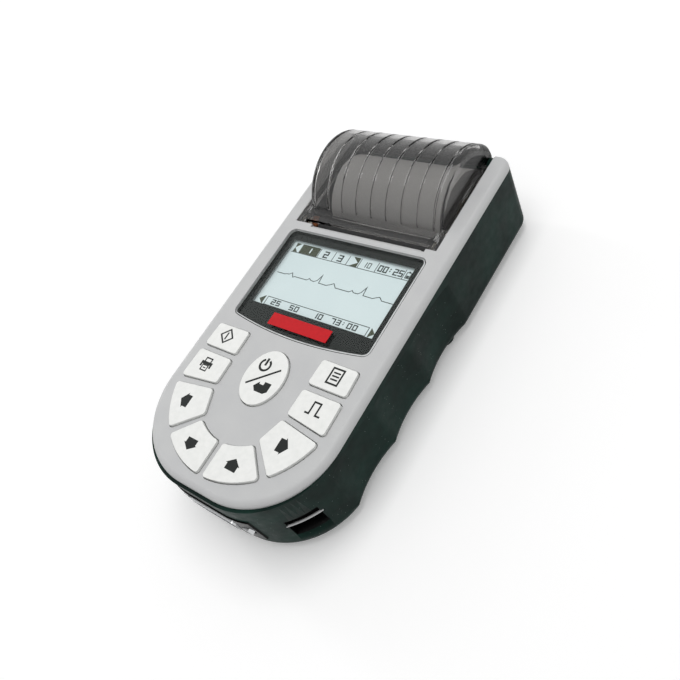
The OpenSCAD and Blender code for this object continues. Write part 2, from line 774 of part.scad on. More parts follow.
function frac(v) = v - floor(v);
idler_phase = idler_dir + 180 + 180 / idler_teeth;
mesh_part = frac((pinion_dir - idler_phase) * idler_teeth / 360);
pinion_phase = pinion_dir + 180 + (mesh_part + 0.5) * 360 / pinion_teeth;

module platen_gear() color([0.55, 0.3, 0.12]) at_yz(roller_y, roller_z)
  spur(roller_teeth, gear_x, gear_end_x, idler_dir, shaft_d - 2 * pinch);

module middle_gear() color("ivory") at_yz(idler_y, idler_z) difference() {
  union() {
    spur(idler_teeth, gear_x, gear_end_x, idler_phase, stub_d);
    x_rod(3.2, gear_end_x - 0.5, gear_end_x + 0.4);
  }
  x_rod(stub_d / 2 + fit, gear_x - 1, gear_end_x + 1);
}

module motor_gear() color("goldenrod") at_yz(motor_y, motor_z)
  spur(pinion_teeth, gear_x, gear_end_x, pinion_phase, motor_shaft_d - 2 * pinch);

// Shaft of the motor, from the outer end of its gear into the motor
module motor_shaft() color("silver") at_yz(motor_y, motor_z)
  x_rod(motor_shaft_d / 2, gear_x - 0.3, motor_x + motor_l - 1);

// Fixed pin with a head, on which the middle gear turns
module gear_stub() color("silver") at_yz(idler_y, idler_z) {
  x_rod(stub_d / 2, gear_x - 0.4, motor_x);
  x_rod(stub_d / 2 + 0.8, gear_x - 0.9, gear_x - 0.3);
}

module stepper_motor() color("gray") difference() {
  union() {
    at_yz(motor_y, motor_z) x_rod(motor_r, motor_x, motor_x + motor_l);
    box(motor_x, motor_x + 0.8, motor_y - motor_ear, motor_y + motor_ear,
      motor_z - 3, motor_z + 3);
  }
  at_yz(motor_y, motor_z) x_rod(motor_shaft_d / 2 + fit, motor_x - 1, motor_x + motor_l - 0.9);
}

module printer_frame() color("lightgray") difference() {
  union() {
    // side plates
    for (s = [0, 1]) mirror([s, 0, 0]) {
      box(plate_out - plate_t, plate_out, frame_front_y - plate_t, roller_y + 5.5,
        frame_tab_z, under_face - 0.1);
      box(plate_out - plate_t, frame_screw_x + 2.3, frame_screw_y - 3.2, frame_screw_y + 3.2,
        frame_tab_z, frame_tab_z + plate_t);
    }
    // front plate behind the heat sink
    box(-plate_out, plate_out, frame_front_y - plate_t, frame_front_y,
      frame_tab_z, key_board_z - 0.3);
    // gear plate and the web that joins it to the front plate
    box(gear_plate_x, motor_x, frame_front_y - plate_t, roller_y + 4.5, 3.2, frame_tab_z + 4);
    box(gear_plate_x, motor_x, motor_y - 8, frame_front_y, 3.2, frame_tab_z);
  }
  // slots that let the roller bushes lift out with the door
  box(-plate_out - 1, plate_out + 1, roller_y - bush_d / 2 - slack, roller_y + bush_d / 2 + slack,
    roller_z, body_h);
  at_yz(roller_y, roller_z) x_rod(bush_d / 2 + slack, -plate_out - 1, plate_out + 1);
  at_yz(motor_y, motor_z) x_rod(motor_shaft_d / 2 + 1, gear_plate_x - 1, motor_x + 1);
  at_yz(idler_y, idler_z) x_rod(stub_d / 2 - pinch, gear_plate_x - 1, motor_x + 1);
  for (s = [-1, 1]) translate([s * frame_screw_x, frame_screw_y, frame_tab_z - 1])
    cylinder(d = frame_screw_d + 0.2, h = 4);
}

module frame_screws() color("silver") for (s = [-1, 1])
  translate([s * frame_screw_x, frame_screw_y, frame_tab_z]) {
    translate([0, 0, plate_t]) cylinder(d = 3.6, h = 1.2);
    translate([0, 0, -5]) cylinder(d = frame_screw_d, h = plate_t + 5 + eps);
  }

module print_head() color([0.85, 0.83, 0.75]) difference() {
  box(paper_left, paper_right, head_y - head_t, head_y, head_low_z, head_top_z);
  box(paper_left - 1, paper_right + 1, head_y - 0.3, head_y + 1, head_low_z - 1, head_low_z + 2.5);
}

module head_heat_sink() color([0.7, 0.71, 0.73]) difference() {
  box(paper_left, paper_right, sink_y, sink_y + sink_t, frame_tab_z + 0.5, head_top_z);
  for (i = [0 : 5]) translate([paper_x - 25 + 10 * i, sink_y + sink_t + 1, 22])
    rotate([90, 0, 0]) cylinder(d = 2, h = sink_t + 2);
}

// Leaf spring between the front plate and the heat sink
module head_spring() color("silver") difference() {
  box(paper_x - 20, paper_x + 20, frame_front_y, sink_y, head_low_z, head_low_z + 4.5);
  for (s = [-1, 1]) box(paper_x + s * 10 - 8, paper_x + s * 10 + 8,
    frame_front_y + 0.2, head_y, head_low_z + 1, head_low_z + 3.5);
}

module platen_shaft() color("silver") at_yz(roller_y, roller_z)
  x_rod(shaft_d / 2, -plate_out, plate_out);

module platen_rubber() color([0.06, 0.06, 0.06]) at_yz(roller_y, roller_z) difference() {
  x_rod(roller_r, paper_left, paper_right);
  x_rod(shaft_d / 2 - pinch, paper_left - 1, paper_right + 1);
}

module platen_bushes() color("white") at_yz(roller_y, roller_z) for (s = [0, 1])
  mirror([s, 0, 0]) difference() {
    union() {
      x_rod(bush_d / 2, cheek_in, plate_out);
      x_rod(bush_d / 2 + 0.7, cheek_in - 0.7, cheek_in);
    }
    x_rod(shaft_d / 2 + fit, cheek_in - 2, plate_out + 1);
  }

module paper_well() color([0.12, 0.12, 0.13]) difference() {
  union() {
    at_yz(roll_y, well_z) x_rod(well_r + well_t, well_left - well_t, well_right + well_t);
    for (x = [-20, 0, 20]) box(x - 1, x + 1, roll_y - 8, roll_y + 8, floor_z, well_z - well_r);
  }
  at_yz(roll_y, well_z) x_rod(well_r, well_left, well_right);
  // open above the end wall, and at the front for the paper
  box(-half_w, half_w, 0, tail_y + 1, tail_wall_z, body_h + 20);
  box(well_left - 5, well_right + 5, 30, roll_y - 10, well_front_z, body_h);
  box(-half_w, half_w, tail_y - wall_t - slack, tail_y + 10, 0, 60);
}

module paper_roll() color([0.95, 0.95, 0.93]) at_yz(roll_y, roll_z) difference() {
  x_rod(roll_r, paper_left, paper_right);
  x_rod(core_bore_r + 1.5, paper_left - 1, paper_right + 1);
}

module paper_core() color([0.65, 0.52, 0.38]) at_yz(roll_y, roll_z) difference() {
  x_rod(core_bore_r + 1.5, paper_left, paper_right);
  x_rod(core_bore_r, paper_left - 1, paper_right + 1);
}

// Paper from the roll, under the roller and up past the tear bar
module paper_strip() color([0.96, 0.96, 0.95]) {
  a = roll_r + strip_gap;
  b = roller_r + strip_gap;
  run = norm([roll_y - roller_y, roll_z - roller_z]);
  lie = atan2(roller_z - roll_z, roller_y - roll_y);
  n = lie + acos((a - b) / run);
  along = [cos(n), sin(n)];
  on_roll = [roll_y, roll_z] + a * along;
  on_roller = [roller_y, roller_z] + b * along;
  translate([paper_left, 0, 0]) rotate([90, 0, 90]) linear_extrude(paper_w) {
    polygon([on_roll, on_roller, on_roller + strip_t * along, on_roll + strip_t * along]);
    translate([roller_y, roller_z]) intersection() {
      difference() {
        circle(b + strip_t, $fn = 128);
        circle(b, $fn = 128);
      }
      polygon([[0, 0], for (t = [177, n - 15, n + 0.5]) 12 * [cos(t), sin(t)]]);
    }
    translate([roller_y - b - strip_t, roller_z]) square([strip_t, body_h - 0.4 - roller_z]);
  }
}

// Steel bar under the edge of the cover, with a row of teeth along its front edge
module tear_bar() color("silver") difference() {
  box(paper_left - 0.5, paper_right + 1.5, lip_gap_y - tear_bar_t, lip_gap_y + 0.1,
    head_top_z + 0.15, tear_bar_top);
  for (x = [paper_left : 2 : paper_right + 1]) translate([x, lip_gap_y + 0.1, 0])
    rotate(45) translate([0, 0, (head_top_z + tear_bar_top) / 2])
      cube([0.4, 0.4, tear_bar_top], center = true);
}

module printer_door() color([0.35, 0.36, 0.36, 0.6]) difference() {
  union() {
    difference() {
      union() {
        // dome with rounded ends
        at_yz(dome_y, dome_z) dome_solid(dome_r, dome_half_w, dome_end_r);
        // flat border
        box(-door_half_w, door_half_w, door_strip_y, tail_y - knuckle_r, door_strip_z, door_top_z);
        box(-knuckle_out, knuckle_out, hinge_y - 2, tail_y, hinge_z, door_top_z);
      }
      at_yz(dome_y, dome_z) dome_solid(dome_r - door_t, dome_half_w - door_t, dome_end_r / 2);
      box(-60, 60, -60, 60 + body_l, -40, door_strip_z - eps);
      box(-60, 60, tail_y, tail_y + 60, -40, 90);
      // room over the roller and its gear
      at_yz(roller_y, roller_z) {
        x_rod(roller_r + slack, gear_x, knuckle_in);
        x_rod(platen_pitch_r + gear_mod * tooth_tip + slack, gear_x - slack, gear_end_x + slack);
      }
      for (i = [0 : groove_count - 1]) at_yz(dome_y, dome_z) difference() {
        x0 = (i - (groove_count - 1) / 2) * groove_pitch - groove_w / 2;
        x_rod(dome_r + 1, x0, x0 + groove_w);
        x_rod(dome_r - groove_deep, x0 - 1, x0 + groove_w + 1);
        box(-60, 60, -60, 60, -60, door_top_z - dome_z + 0.4);
      }
    }
    // back wall under the dome
    difference() {
      box(-knuckle_out, knuckle_out, tail_y - door_t, tail_y, hinge_z, door_strip_z + 6);
      at_yz(dome_y, dome_z) difference() {
        x_rod(60, -60, 60);
        dome_solid(dome_r - eps, dome_half_w, dome_end_r);
      }
    }
    // hinge knuckles, tabs beside the roller and the cheeks that carry it
    for (s = [0, 1]) mirror([s, 0, 0]) {
      at_yz(hinge_y, hinge_z) x_rod(knuckle_r, knuckle_in, knuckle_out);
      box(cheek_in - 0.5, door_half_w, door_gap_y + door_clear, door_strip_y + 1,
        door_strip_z, door_top_z);
      box(cheek_in, cheek_in + cheek_t, roller_y - 4, roller_y + 4, roller_z, door_strip_z + eps);
      at_yz(roller_y, roller_z) x_rod(4, cheek_in, cheek_in + cheek_t);
    }
  }
  for (s = [0, 1]) mirror([s, 0, 0]) {
    at_yz(roller_y, roller_z) x_rod(bush_d / 2, cheek_in - 1, plate_out + 1);
    at_yz(hinge_y, hinge_z) x_rod(hinge_pin_d / 2 + fit, knuckle_in - 1, half_w);
    // room for the hinge lugs
    box(knuckle_out, door_half_w + 1, hinge_y - knuckle_r - 0.5, tail_y + 1, 20, door_top_z + 1);
  }
}

// Round bar across the body with rounded ends
module dome_solid(r, hw, edge) {
  rotate([0, 90, 0]) rotate_extrude($fn = 192) {
    translate([0, -hw + edge]) square([r, 2 * (hw - edge)]);
    translate([0, -hw]) square([r - edge, 2 * hw]);
    for (s = [-1, 1]) translate([r - edge, s * (hw - edge)]) circle(edge, $fn = 48);
  }
}

module hinge_pins() color("silver") at_yz(hinge_y, hinge_z) for (s = [0, 1])
  mirror([s, 0, 0]) x_rod(hinge_pin_d / 2, knuckle_in + 0.2, door_half_w);

// ---------------------------------------------------------------- power and sockets

module battery_cells() color([0.2, 0.45, 0.3]) for (i = [0 : cell_count - 1])
  translate([(i - (cell_count - 1) / 2) * cell_step, cell_y - cell_l / 2, cell_z])
    rotate([-90, 0, 0]) {
      cylinder(d = cell_d, h = cell_l - 1);
      cylinder(d = cell_d * 0.38, h = cell_l);
    }

// Contact strips that join the ends of the cells
module battery_tabs() color("silver") for (s = [-1, 1])
  translate([0, cell_y + s * (cell_l / 2 + contact_gap + contact_t / 2), cell_z])
    cube([(cell_count - 1) * cell_step + 5, contact_t, 5], center = true);

// Black surround of the lead socket, which follows the nose curve
module socket_bezel() color([0.05, 0.05, 0.05]) difference() {
  intersection() {
    translate([0, 0, socket_z]) box(-bezel_w / 2 + 0.2, bezel_w / 2 - 0.2, nose_y - 5,
      flange_y - 0.1, -bezel_h / 2 + 0.2, bezel_h / 2 - 0.2);
    linear_extrude(split_z) plan(half_w + bezel_proud, nose_y - bezel_proud,
      nose_r + bezel_proud, tail_y, tail_r);
  }
  translate([0, 0, socket_z]) d_shell(socket_shell_w + 0.6, 9, nose_y - 5, flange_y + 1);
  for (s = [-1, 1]) translate([s * nut_x, nose_y - 5, socket_z]) rotate([-90, 0, 0])
    cylinder(d = nut_d + 2 * slack, h = 12);
}

// Trapezium with round corners, wider at the top, along Y
module d_shell(w, h, y0, y1) {
  r = 2;
  lean = 1.2;
  translate([0, y1, 0]) rotate([90, 0, 0]) linear_extrude(y1 - y0) {
    for (c = [[w / 2 - r, h / 2 - r], [w / 2 - r - lean, -h / 2 + r]]) for (s = [-1, 1])
      translate([s * c[0], c[1]]) circle(r);
    polygon([[-w / 2 + r, h / 2], [w / 2 - r, h / 2], [w / 2, h / 2 - r], [w / 2 - lean, -h / 2 + r],
      [w / 2 - r - lean, -h / 2], [-w / 2 + r + lean, -h / 2], [-w / 2 + lean, -h / 2 + r],
      [-w / 2, h / 2 - r]]);
  }
}

module socket_shell() color("silver") translate([0, 0, socket_z]) difference() {
  union() {
    d_shell(socket_shell_w, 8.4, -body_l / 2, flange_y + 3);
    box(-19.6, 19.6, flange_y, flange_y + flange_t, -6.2, 6.2);
  }
  d_shell(socket_shell_w - 0.9, 7.5, -body_l / 2 - 1, flange_y + 4);
  for (s = [-1, 1]) translate([s * nut_x, nose_y, 0]) rotate([-90, 0, 0])
    cylinder(d = nut_shank_d + 2 * fit, h = 8);
}

// Body of the lead socket with two rows of contact holes
module socket_insert() color([0.12, 0.12, 0.2]) translate([0, 0, socket_z]) difference() {
  union() {
    d_shell(socket_shell_w - 1.1, 7.3, nose_y + 0.6, insert_back_y);
    box(-19.6, 19.6, flange_y + 3, insert_back_y, -6.2, 3.6);
  }
  for (row = [[8, 1.4], [7, -1.4]], i = [0 : row[0] - 1])
    translate([(i - (row[0] - 1) / 2) * 2.77, nose_y - 1, row[1]]) rotate([-90, 0, 0])
      cylinder(d = 1.1, h = 7, $fn = 24);
}

// Hexagon nuts with a threaded hole for the screws of the plug
module socket_nuts() color("silver") for (s = [-1, 1])
  translate([s * nut_x, flange_y, socket_z]) rotate([90, 0, 0]) difference() {
    union() {
      cylinder(d = nut_d, h = 3 + bezel_proud, $fn = 6);
      translate([0, 0, -2.9]) cylinder(d = nut_shank_d, h = 3);
    }
    translate([0, 0, 0.3]) cylinder(d = 2.2, h = 5);
  }

module dc_jack() color([0.08, 0.08, 0.08]) difference() {
  union() {
    box(dc_x - dc_half_w, dc_x + dc_half_w, tail_y - wall_t - dc_l, tail_y - wall_t,
      dc_z - dc_nose_d / 2 - 1.4, dc_z + dc_nose_d / 2 + 1.2);
    translate([dc_x, tail_y - wall_t - eps, dc_z]) rotate([-90, 0, 0])
      cylinder(d = dc_nose_d, h = wall_t - 0.3);
  }
  translate([dc_x, tail_y - wall_t - dc_l + 1.5, dc_z]) rotate([-90, 0, 0])
    cylinder(d = 5.5, h = dc_l + 2);
}

module dc_jack_pin() color("silver") translate([dc_x, tail_y - wall_t - dc_l + 1.5, dc_z])
  rotate([-90, 0, 0]) cylinder(d = 2, h = dc_l - 1);

module strap_bar() color([0.75, 0.76, 0.77]) at_strap()
  translate([-strap_bar_in, 0, strap_bar_up]) rotate([90, 0, 0])
    cylinder(d = strap_bar_d, h = strap_w + 1.6, center = true);

top_cover();
lower_case();
battery_lid();
case_screws();
lid_screws();
window();
window_mask();
badge_plate();
lcd_glass();
lcd_light_guide();
lcd_frame();
main_board();
key_board();
board_header();
board_chips();
key_domes();
key_mat();
key_power();
key_lead();
key_menu();
key_print();
key_pulse();
key_left();
key_right();
key_down();
key_up();
printer_frame();
frame_screws();
print_head();
head_heat_sink();
head_spring();
stepper_motor();
motor_shaft();
motor_gear();
middle_gear();
gear_stub();
platen_shaft();
platen_rubber();
platen_gear();
platen_bushes();
paper_well();
paper_roll();
paper_core();
paper_strip();
tear_bar();
printer_door();
hinge_pins();
battery_cells();
battery_tabs();
socket_bezel();
socket_shell();
socket_insert();
socket_nuts();
dc_jack();
dc_jack_pin();
strap_bar();
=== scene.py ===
"""Hand-held heart monitor with a strip printer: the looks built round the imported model.

It lies on its back. Lengths that are written in millimetres are turned into metres by MM.
"""

import math

import bmesh
import bpy
from mathutils import Matrix, Vector


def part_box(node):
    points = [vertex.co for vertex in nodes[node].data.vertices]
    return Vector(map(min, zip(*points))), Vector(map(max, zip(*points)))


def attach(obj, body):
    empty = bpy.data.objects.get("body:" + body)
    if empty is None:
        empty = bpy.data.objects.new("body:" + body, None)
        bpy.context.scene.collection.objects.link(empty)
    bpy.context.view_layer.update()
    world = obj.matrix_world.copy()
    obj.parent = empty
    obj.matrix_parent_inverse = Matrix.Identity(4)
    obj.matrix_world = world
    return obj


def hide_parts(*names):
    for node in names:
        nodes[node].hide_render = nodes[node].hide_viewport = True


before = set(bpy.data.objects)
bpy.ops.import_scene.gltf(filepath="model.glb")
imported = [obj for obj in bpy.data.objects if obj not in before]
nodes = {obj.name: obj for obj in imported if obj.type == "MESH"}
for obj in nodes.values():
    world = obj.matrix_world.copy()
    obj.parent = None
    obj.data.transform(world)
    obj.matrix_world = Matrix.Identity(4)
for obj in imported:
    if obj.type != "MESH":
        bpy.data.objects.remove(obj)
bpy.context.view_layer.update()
MM = 0.001

# ------------------------------------------------------------------ lower case
# The dark half shell with the finger hollows, injection moulded in a green-black plastic with
# fine pale flecks in it. The battery lid is moulded in the same batch.


class Wire:
    """A shader socket that can be added, multiplied and mixed like a number."""

    def __init__(self, socket):
        self.socket = socket
        self.tree = socket.id_data

    def node(self, kind, inputs=(), out=0, **settings):
        """Makes any other node. Settings come first, then the values or links of its sockets."""
        made = self.tree.nodes.new("ShaderNode" + kind)
        for name, value in settings.items():
            setattr(made, name, value)
        for name, value in dict(inputs).items():
            if isinstance(value, Wire):
                self.tree.links.new(value.socket, made.inputs[name])
            else:
                made.inputs[name].default_value = value
        return Wire(made.outputs[out])

    def math(self, operation, a, b):
        return self.node("Math", {0: a, 1: b}, operation=operation)

    def __add__(self, other):
        return self.math("ADD", self, other)

    __radd__ = __add__

    def __mul__(self, other):
        return self.math("MULTIPLY", self, other)

    __rmul__ = __mul__

    def __sub__(self, other):
        return self.math("SUBTRACT", self, other)

    def __rsub__(self, other):
        return self.math("SUBTRACT", other, self)

    def __pow__(self, other):
        return self.math("POWER", self, other)

    def __gt__(self, limit):
        return self.math("GREATER_THAN", self, limit)

    def __lt__(self, limit):
        return self.math("LESS_THAN", self, limit)

    def size(self):
        return self.node("Math", {0: self}, operation="ABSOLUTE")

    def between(self, low, high):
        """0 below low, 1 above high, straight in between."""
        return self.node("MapRange", {"Value": self, "From Min": low, "From Max": high})

    def tint(self, dark, light):
        """The colour between two colours that this value picks."""
        mix = self.node("Mix", {0: self}, data_type="RGBA", out=2)
        mix.socket.node.inputs[6].default_value = (*dark, 1)
        mix.socket.node.inputs[7].default_value = (*light, 1)
        return mix

    def over(self, colour, light):
        """A colour wire with a plain colour laid over it where this mask is 1."""
        mix = self.node("Mix", {0: self}, data_type="RGBA", out=2)
        self.tree.links.new(colour.socket, mix.socket.node.inputs[6])
        mix.socket.node.inputs[7].default_value = (*light, 1)
        return mix

    def cloud(self, size, detail=2.0):
        """Soft noise whose blotches are about this many millimetres wide."""
        return self.node("TexNoise", {"Vector": self, "Scale": 1 / (size * MM), "Detail": detail})

    def bumps(self, height, reach):
        """A normal with this height in millimetres at full strength."""
        return self.node("Bump", {"Height": height, "Distance": reach * MM})


class Finish:
    """A material with one Principled shader, and a wire with the object's coordinates."""

    def __init__(self, name, colour, roughness, metallic=0.0, **constants):
        self.material = bpy.data.materials.new(name)
        self.material.use_nodes = True
        tree = self.material.node_tree
        self.shader = tree.nodes["Principled BSDF"]
        self.output = tree.nodes["Material Output"]
        self.place = Wire(tree.nodes.new("ShaderNodeTexCoord").outputs["Object"])
        self.set("Base Color", colour)
        self.set("Roughness", roughness)
        self.set("Metallic", metallic)
        for name, value in constants.items():
            self.set(name.replace("_", " "), value)

    def set(self, socket, value):
        if isinstance(value, Wire):
            self.shader.id_data.links.new(value.socket, self.shader.inputs[socket])
        elif isinstance(value, tuple):
            self.shader.inputs[socket].default_value = (*value, 1)
        else:
            self.shader.inputs[socket].default_value = value

    def grain(self, size, depth, detail=2.0):
        """Fine moulded or ground texture over the whole surface."""
        self.set("Normal", self.place.bumps(self.place.cloud(size, detail), depth))

    def wear(self, light, dark, size, rough_low, rough_high):
        """Slight blotches of colour and gloss, about this many millimetres wide."""
        blotch = self.place.cloud(size, 4).between(0.3, 0.7)
        self.set("Base Color", blotch.tint(dark, light))
        self.set("Roughness", blotch * (rough_high - rough_low) + rough_low)


def dress(finish, *names):
    """Gives CAD nodes a finish."""
    for name in names:
        slots = nodes[name].data.materials
        slots.clear()
        slots.append(finish.material)


# the strap pocket lies on the nose curve, X pointing outwards from the curve's centre
POCKET = Vector((9.5, -51.8, 17.2))
POCKET_TURN = -39.5
POCKET_W, POCKET_H, POCKET_DEPTH = 13.5, 11.7, 5.6
NOSE_R = 34.5
FLECK_CELL, FLECK_SIZE, FLECK_CHANCE = 0.75, 0.2, 0.07
SAME_LEVEL = 0.01
CREST_MIN_LENGTH, CREST_MIN_X, CREST_ROUND = 22, 40, 2
POST_X, POST_Y, POST_R = 37, 20, 3.7


def flecked_plastic():
    finish = Finish("flecked_plastic", (0.004, 0.018, 0.0135), 0.42, Specular_IOR_Level=0.08)
    place = finish.place
    blotch = place.cloud(16, 3).between(0.35, 0.68)
    colour = blotch.tint((0.002, 0.0095, 0.0072), (0.0055, 0.026, 0.0195))
    cell = {"Vector": place, "Scale": 1 / (FLECK_CELL * MM)}
    reach = place.node("TexVoronoi", cell)
    pick = place.node("TexVoronoi", cell, out=1)
    chance = pick.node("SeparateColor", {"Color": pick})
    fleck = (reach < FLECK_SIZE) * (chance > 1 - FLECK_CHANCE)
    flecked = fleck.over(colour, (0.13, 0.17, 0.155))
    # painted shade: the inside of the strap pocket is painted plain black, because the recess lies
    # in shade
    local = place.node("Mapping", {"Vector": place, "Location": tuple(POCKET * MM),
                                   "Rotation": (0, 0, math.radians(POCKET_TURN))},
                       vector_type="TEXTURE")
    out, across, up = (local.node("SeparateXYZ", {"Vector": local}, out=i) for i in range(3))
    inside = (out > (NOSE_R - POCKET_DEPTH) * MM) * (out < (NOSE_R + 1) * MM)
    level = (across.size() < POCKET_W / 2 * MM) * (up.size() < POCKET_H / 2 * MM)
    finish.set("Base Color", (inside * level).over(flecked, (0.002, 0.002, 0.002)))
    finish.set("Roughness", place.cloud(3).between(0.2, 0.8) * 0.16 + 0.36)
    finish.grain(0.35, 0.012)
    return finish


def worked(name, flat=0.3):
    """A merged copy of a CAD node's mesh to work on, with its flat faces in one piece."""
    bm = bmesh.new()
    bm.from_mesh(nodes[name].data)
    bmesh.ops.remove_doubles(bm, verts=bm.verts, dist=0.002 * MM)
    bmesh.ops.dissolve_limit(bm, angle_limit=math.radians(flat), verts=bm.verts, edges=bm.edges)
    return bm


def soften(bm, edges, offset, segments):
    """Bevels edges and gives back the new faces. Sizes in millimetres."""
    return bmesh.ops.bevel(bm, geom=edges, offset=offset * MM, offset_type="OFFSET",
                           segments=segments, profile=0.5, affect="EDGES", material=-1)["faces"]


def made(name, bm, finish, body, sharp=30, even=True):
    """Turns a bmesh into a piece that rides on a body, smooth but for its sharp edges."""
    mesh = bpy.data.meshes.new(name)
    bm.to_mesh(mesh)
    bm.free()
    mesh.shade_smooth()
    mesh.set_sharp_from_angle(angle=math.radians(sharp))
    mesh.materials.append(finish.material)
    piece = bpy.data.objects.new(name, mesh)
    bpy.context.scene.collection.objects.link(piece)
    if even:
        weighted = piece.modifiers.new("even_normals", "WEIGHTED_NORMAL")
        weighted.keep_sharp = True
    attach(piece, body)
    return piece


def case_mesh():
    """The crests between the finger hollows are rounded off, because they stand out."""
    bm = worked("lower_case")
    crests = [e for e in bm.edges
              if e.calc_length() > CREST_MIN_LENGTH * MM
              and min(abs(v.co.x) for v in e.verts) > CREST_MIN_X * MM
              and 0.2 < e.calc_face_angle(0) < 0.6]
    soften(bm, crests, CREST_ROUND, 4)
    # on the underside, the rims of the middle screw posts are pulled in to one line
    for side in (-1, 1):
        post = Vector((POST_X * side, POST_Y))
        rim = [v for v in bm.verts
               if v.co.z < SAME_LEVEL * MM and v.co.x * side > POST_X * MM
               and abs((v.co.xy / MM - post).length - POST_R) < 0.05]
        line_x = min((abs(v.co.x) for v in rim), default=0)
        for vert in rim:
            vert.co.x = side * line_x
    return bm


case_finish = flecked_plastic()
case = made("case_shell", case_mesh(), case_finish, "housing", sharp=28)
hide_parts("lower_case")
dress(case_finish, "battery_lid")

# ------------------------------------------------------------------ screws and cells
# Zinc-plated steel screws close the case and the lid. Five cells in printed sleeves stand side
# by side in the box, joined by nickel strips.


def plated_steel(name="zinc_plate", colour=(0.62, 0.62, 0.61), roughness=0.3):
    finish = Finish(name, colour, roughness, 1.0)
    finish.set("Roughness", finish.place.cloud(0.8).between(0.2, 0.8) * 0.18 + roughness - 0.08)
    finish.grain(0.25, 0.004)
    return finish


steel = plated_steel()
nickel = plated_steel("nickel_plate", (0.66, 0.63, 0.56), 0.22)
dress(steel, "case_screws", "lid_screws", "frame_screws", "hinge_pins", "gear_stub")
dress(steel, "platen_shaft", "motor_shaft", "head_spring", "tear_bar", "key_domes")
dress(nickel, "battery_tabs", "dc_jack_pin")

BAND_FROM, BAND_TO, PLUS_END = 6, 14.2, 13.75


def cell_sleeve():
    finish = Finish("cell_sleeve", (0.03, 0.16, 0.09), 0.28)
    along = finish.place.node("SeparateXYZ", {"Vector": finish.place}, out=1)
    band = (along > BAND_FROM * MM) * (along < BAND_TO * MM)
    plus_end = along > PLUS_END * MM
    green = finish.place.cloud(5).tint((0.02, 0.11, 0.06), (0.035, 0.17, 0.095))
    banded = band.over(green, (0.5, 0.4, 0.12))
    finish.set("Base Color", plus_end.over(banded, (0.62, 0.6, 0.56)))
    finish.set("Metallic", plus_end)
    return finish


dress(cell_sleeve(), "battery_cells")

# ------------------------------------------------------------------ boards
# Two green glass-fibre boards: the main board with its chips, and the key board with a snap
# dome under every key. Copper lines show through the solder mask.


def solder_mask():
    finish = Finish("solder_mask", (0.012, 0.11, 0.05), 0.3)
    lines = finish.place.node(
        "TexBrick", {"Vector": finish.place, "Scale": 1 / (14 * MM), "Mortar Size": 0.018,
                     "Brick Width": 0.35, "Row Height": 0.16}, out=1)
    finish.set("Base Color", lines.tint((0.008, 0.085, 0.038), (0.03, 0.2, 0.09)))
    finish.grain(0.4, 0.006)
    return finish


def black_plastic(name="black_plastic", colour=(0.01, 0.01, 0.011), roughness=0.38, gloss=0.25):
    finish = Finish(name, colour, roughness, Specular_IOR_Level=gloss)
    finish.set("Roughness", finish.place.cloud(2).between(0.2, 0.8) * 0.16 + roughness - 0.06)
    finish.grain(0.3, 0.01)
    return finish


black = black_plastic()
dress(solder_mask(), "main_board", "key_board")
dress(black, "board_chips", "board_header", "dc_jack", "paper_well")

# ------------------------------------------------------------------ lead socket
# A D-shaped nickel shell with a blue-black insert, in a glossy black surround that follows the
# nose. Two hexagon nuts hold it and take the screws of the plug.

dress(black_plastic("gloss_black", (0.004, 0.0045, 0.0045), 0.2, 0.08), "socket_bezel")
dress(plated_steel("rim_nickel", (0.56, 0.57, 0.58), 0.2), "socket_shell", "socket_nuts")
dress(black_plastic("insert_blue", (0.012, 0.016, 0.05), 0.45), "socket_insert")

# ------------------------------------------------------------------ printer
# Steel frame with a stepper motor, three spur gears, a ceramic print head on an aluminium sink
# and a ground rubber roller that rides in the door.

DOTS_LOW, DOTS_HIGH = 30.3, 30.9


def ceramic():
    """The line of heating dots runs along the head as a dark band."""
    finish = Finish("head_ceramic", (0.62, 0.58, 0.46), 0.14)
    height = finish.place.node("SeparateXYZ", {"Vector": finish.place}, out=2)
    dots = (height > DOTS_LOW * MM) * (height < DOTS_HIGH * MM)
    finish.set("Base Color", dots.tint((0.62, 0.58, 0.46), (0.1, 0.06, 0.03)))
    return finish


def moulded(name, colour, roughness):
    finish = Finish(name, colour, roughness)
    shade = tuple(0.8 * c for c in colour)
    finish.wear(colour, shade, 3, roughness - 0.05, roughness + 0.1)
    finish.grain(0.3, 0.008)
    return finish


def roller_rubber():
    finish = Finish("roller_rubber", (0.009, 0.009, 0.0095), 0.62)
    finish.set("Roughness", finish.place.cloud(1.2).between(0.2, 0.8) * 0.2 + 0.5)
    finish.grain(0.18, 0.02)
    return finish


dress(plated_steel("frame_steel", (0.55, 0.55, 0.56), 0.35), "printer_frame")
dress(plated_steel("motor_can", (0.4, 0.4, 0.42), 0.38), "stepper_motor")
dress(plated_steel("sink_aluminium", (0.6, 0.61, 0.63), 0.45), "head_heat_sink")
dress(plated_steel("gear_brass", (0.66, 0.46, 0.17), 0.25), "motor_gear")
dress(ceramic(), "print_head")
dress(moulded("gear_nylon", (0.68, 0.66, 0.58), 0.4), "middle_gear", "platen_bushes")
dress(moulded("gear_brown", (0.3, 0.095, 0.025), 0.4), "platen_gear")
dress(roller_rubber(), "platen_rubber")

# ------------------------------------------------------------------ paper roll
# Thermal paper wound on a card core. Its end shows the edges of the turns, and the outer turn
# runs to the roller.

ROLL_Y, ROLL_Z, ROLL_LEFT, ROLL_RIGHT = 65, 23.8, -26, 29.8
TURN = 0.35


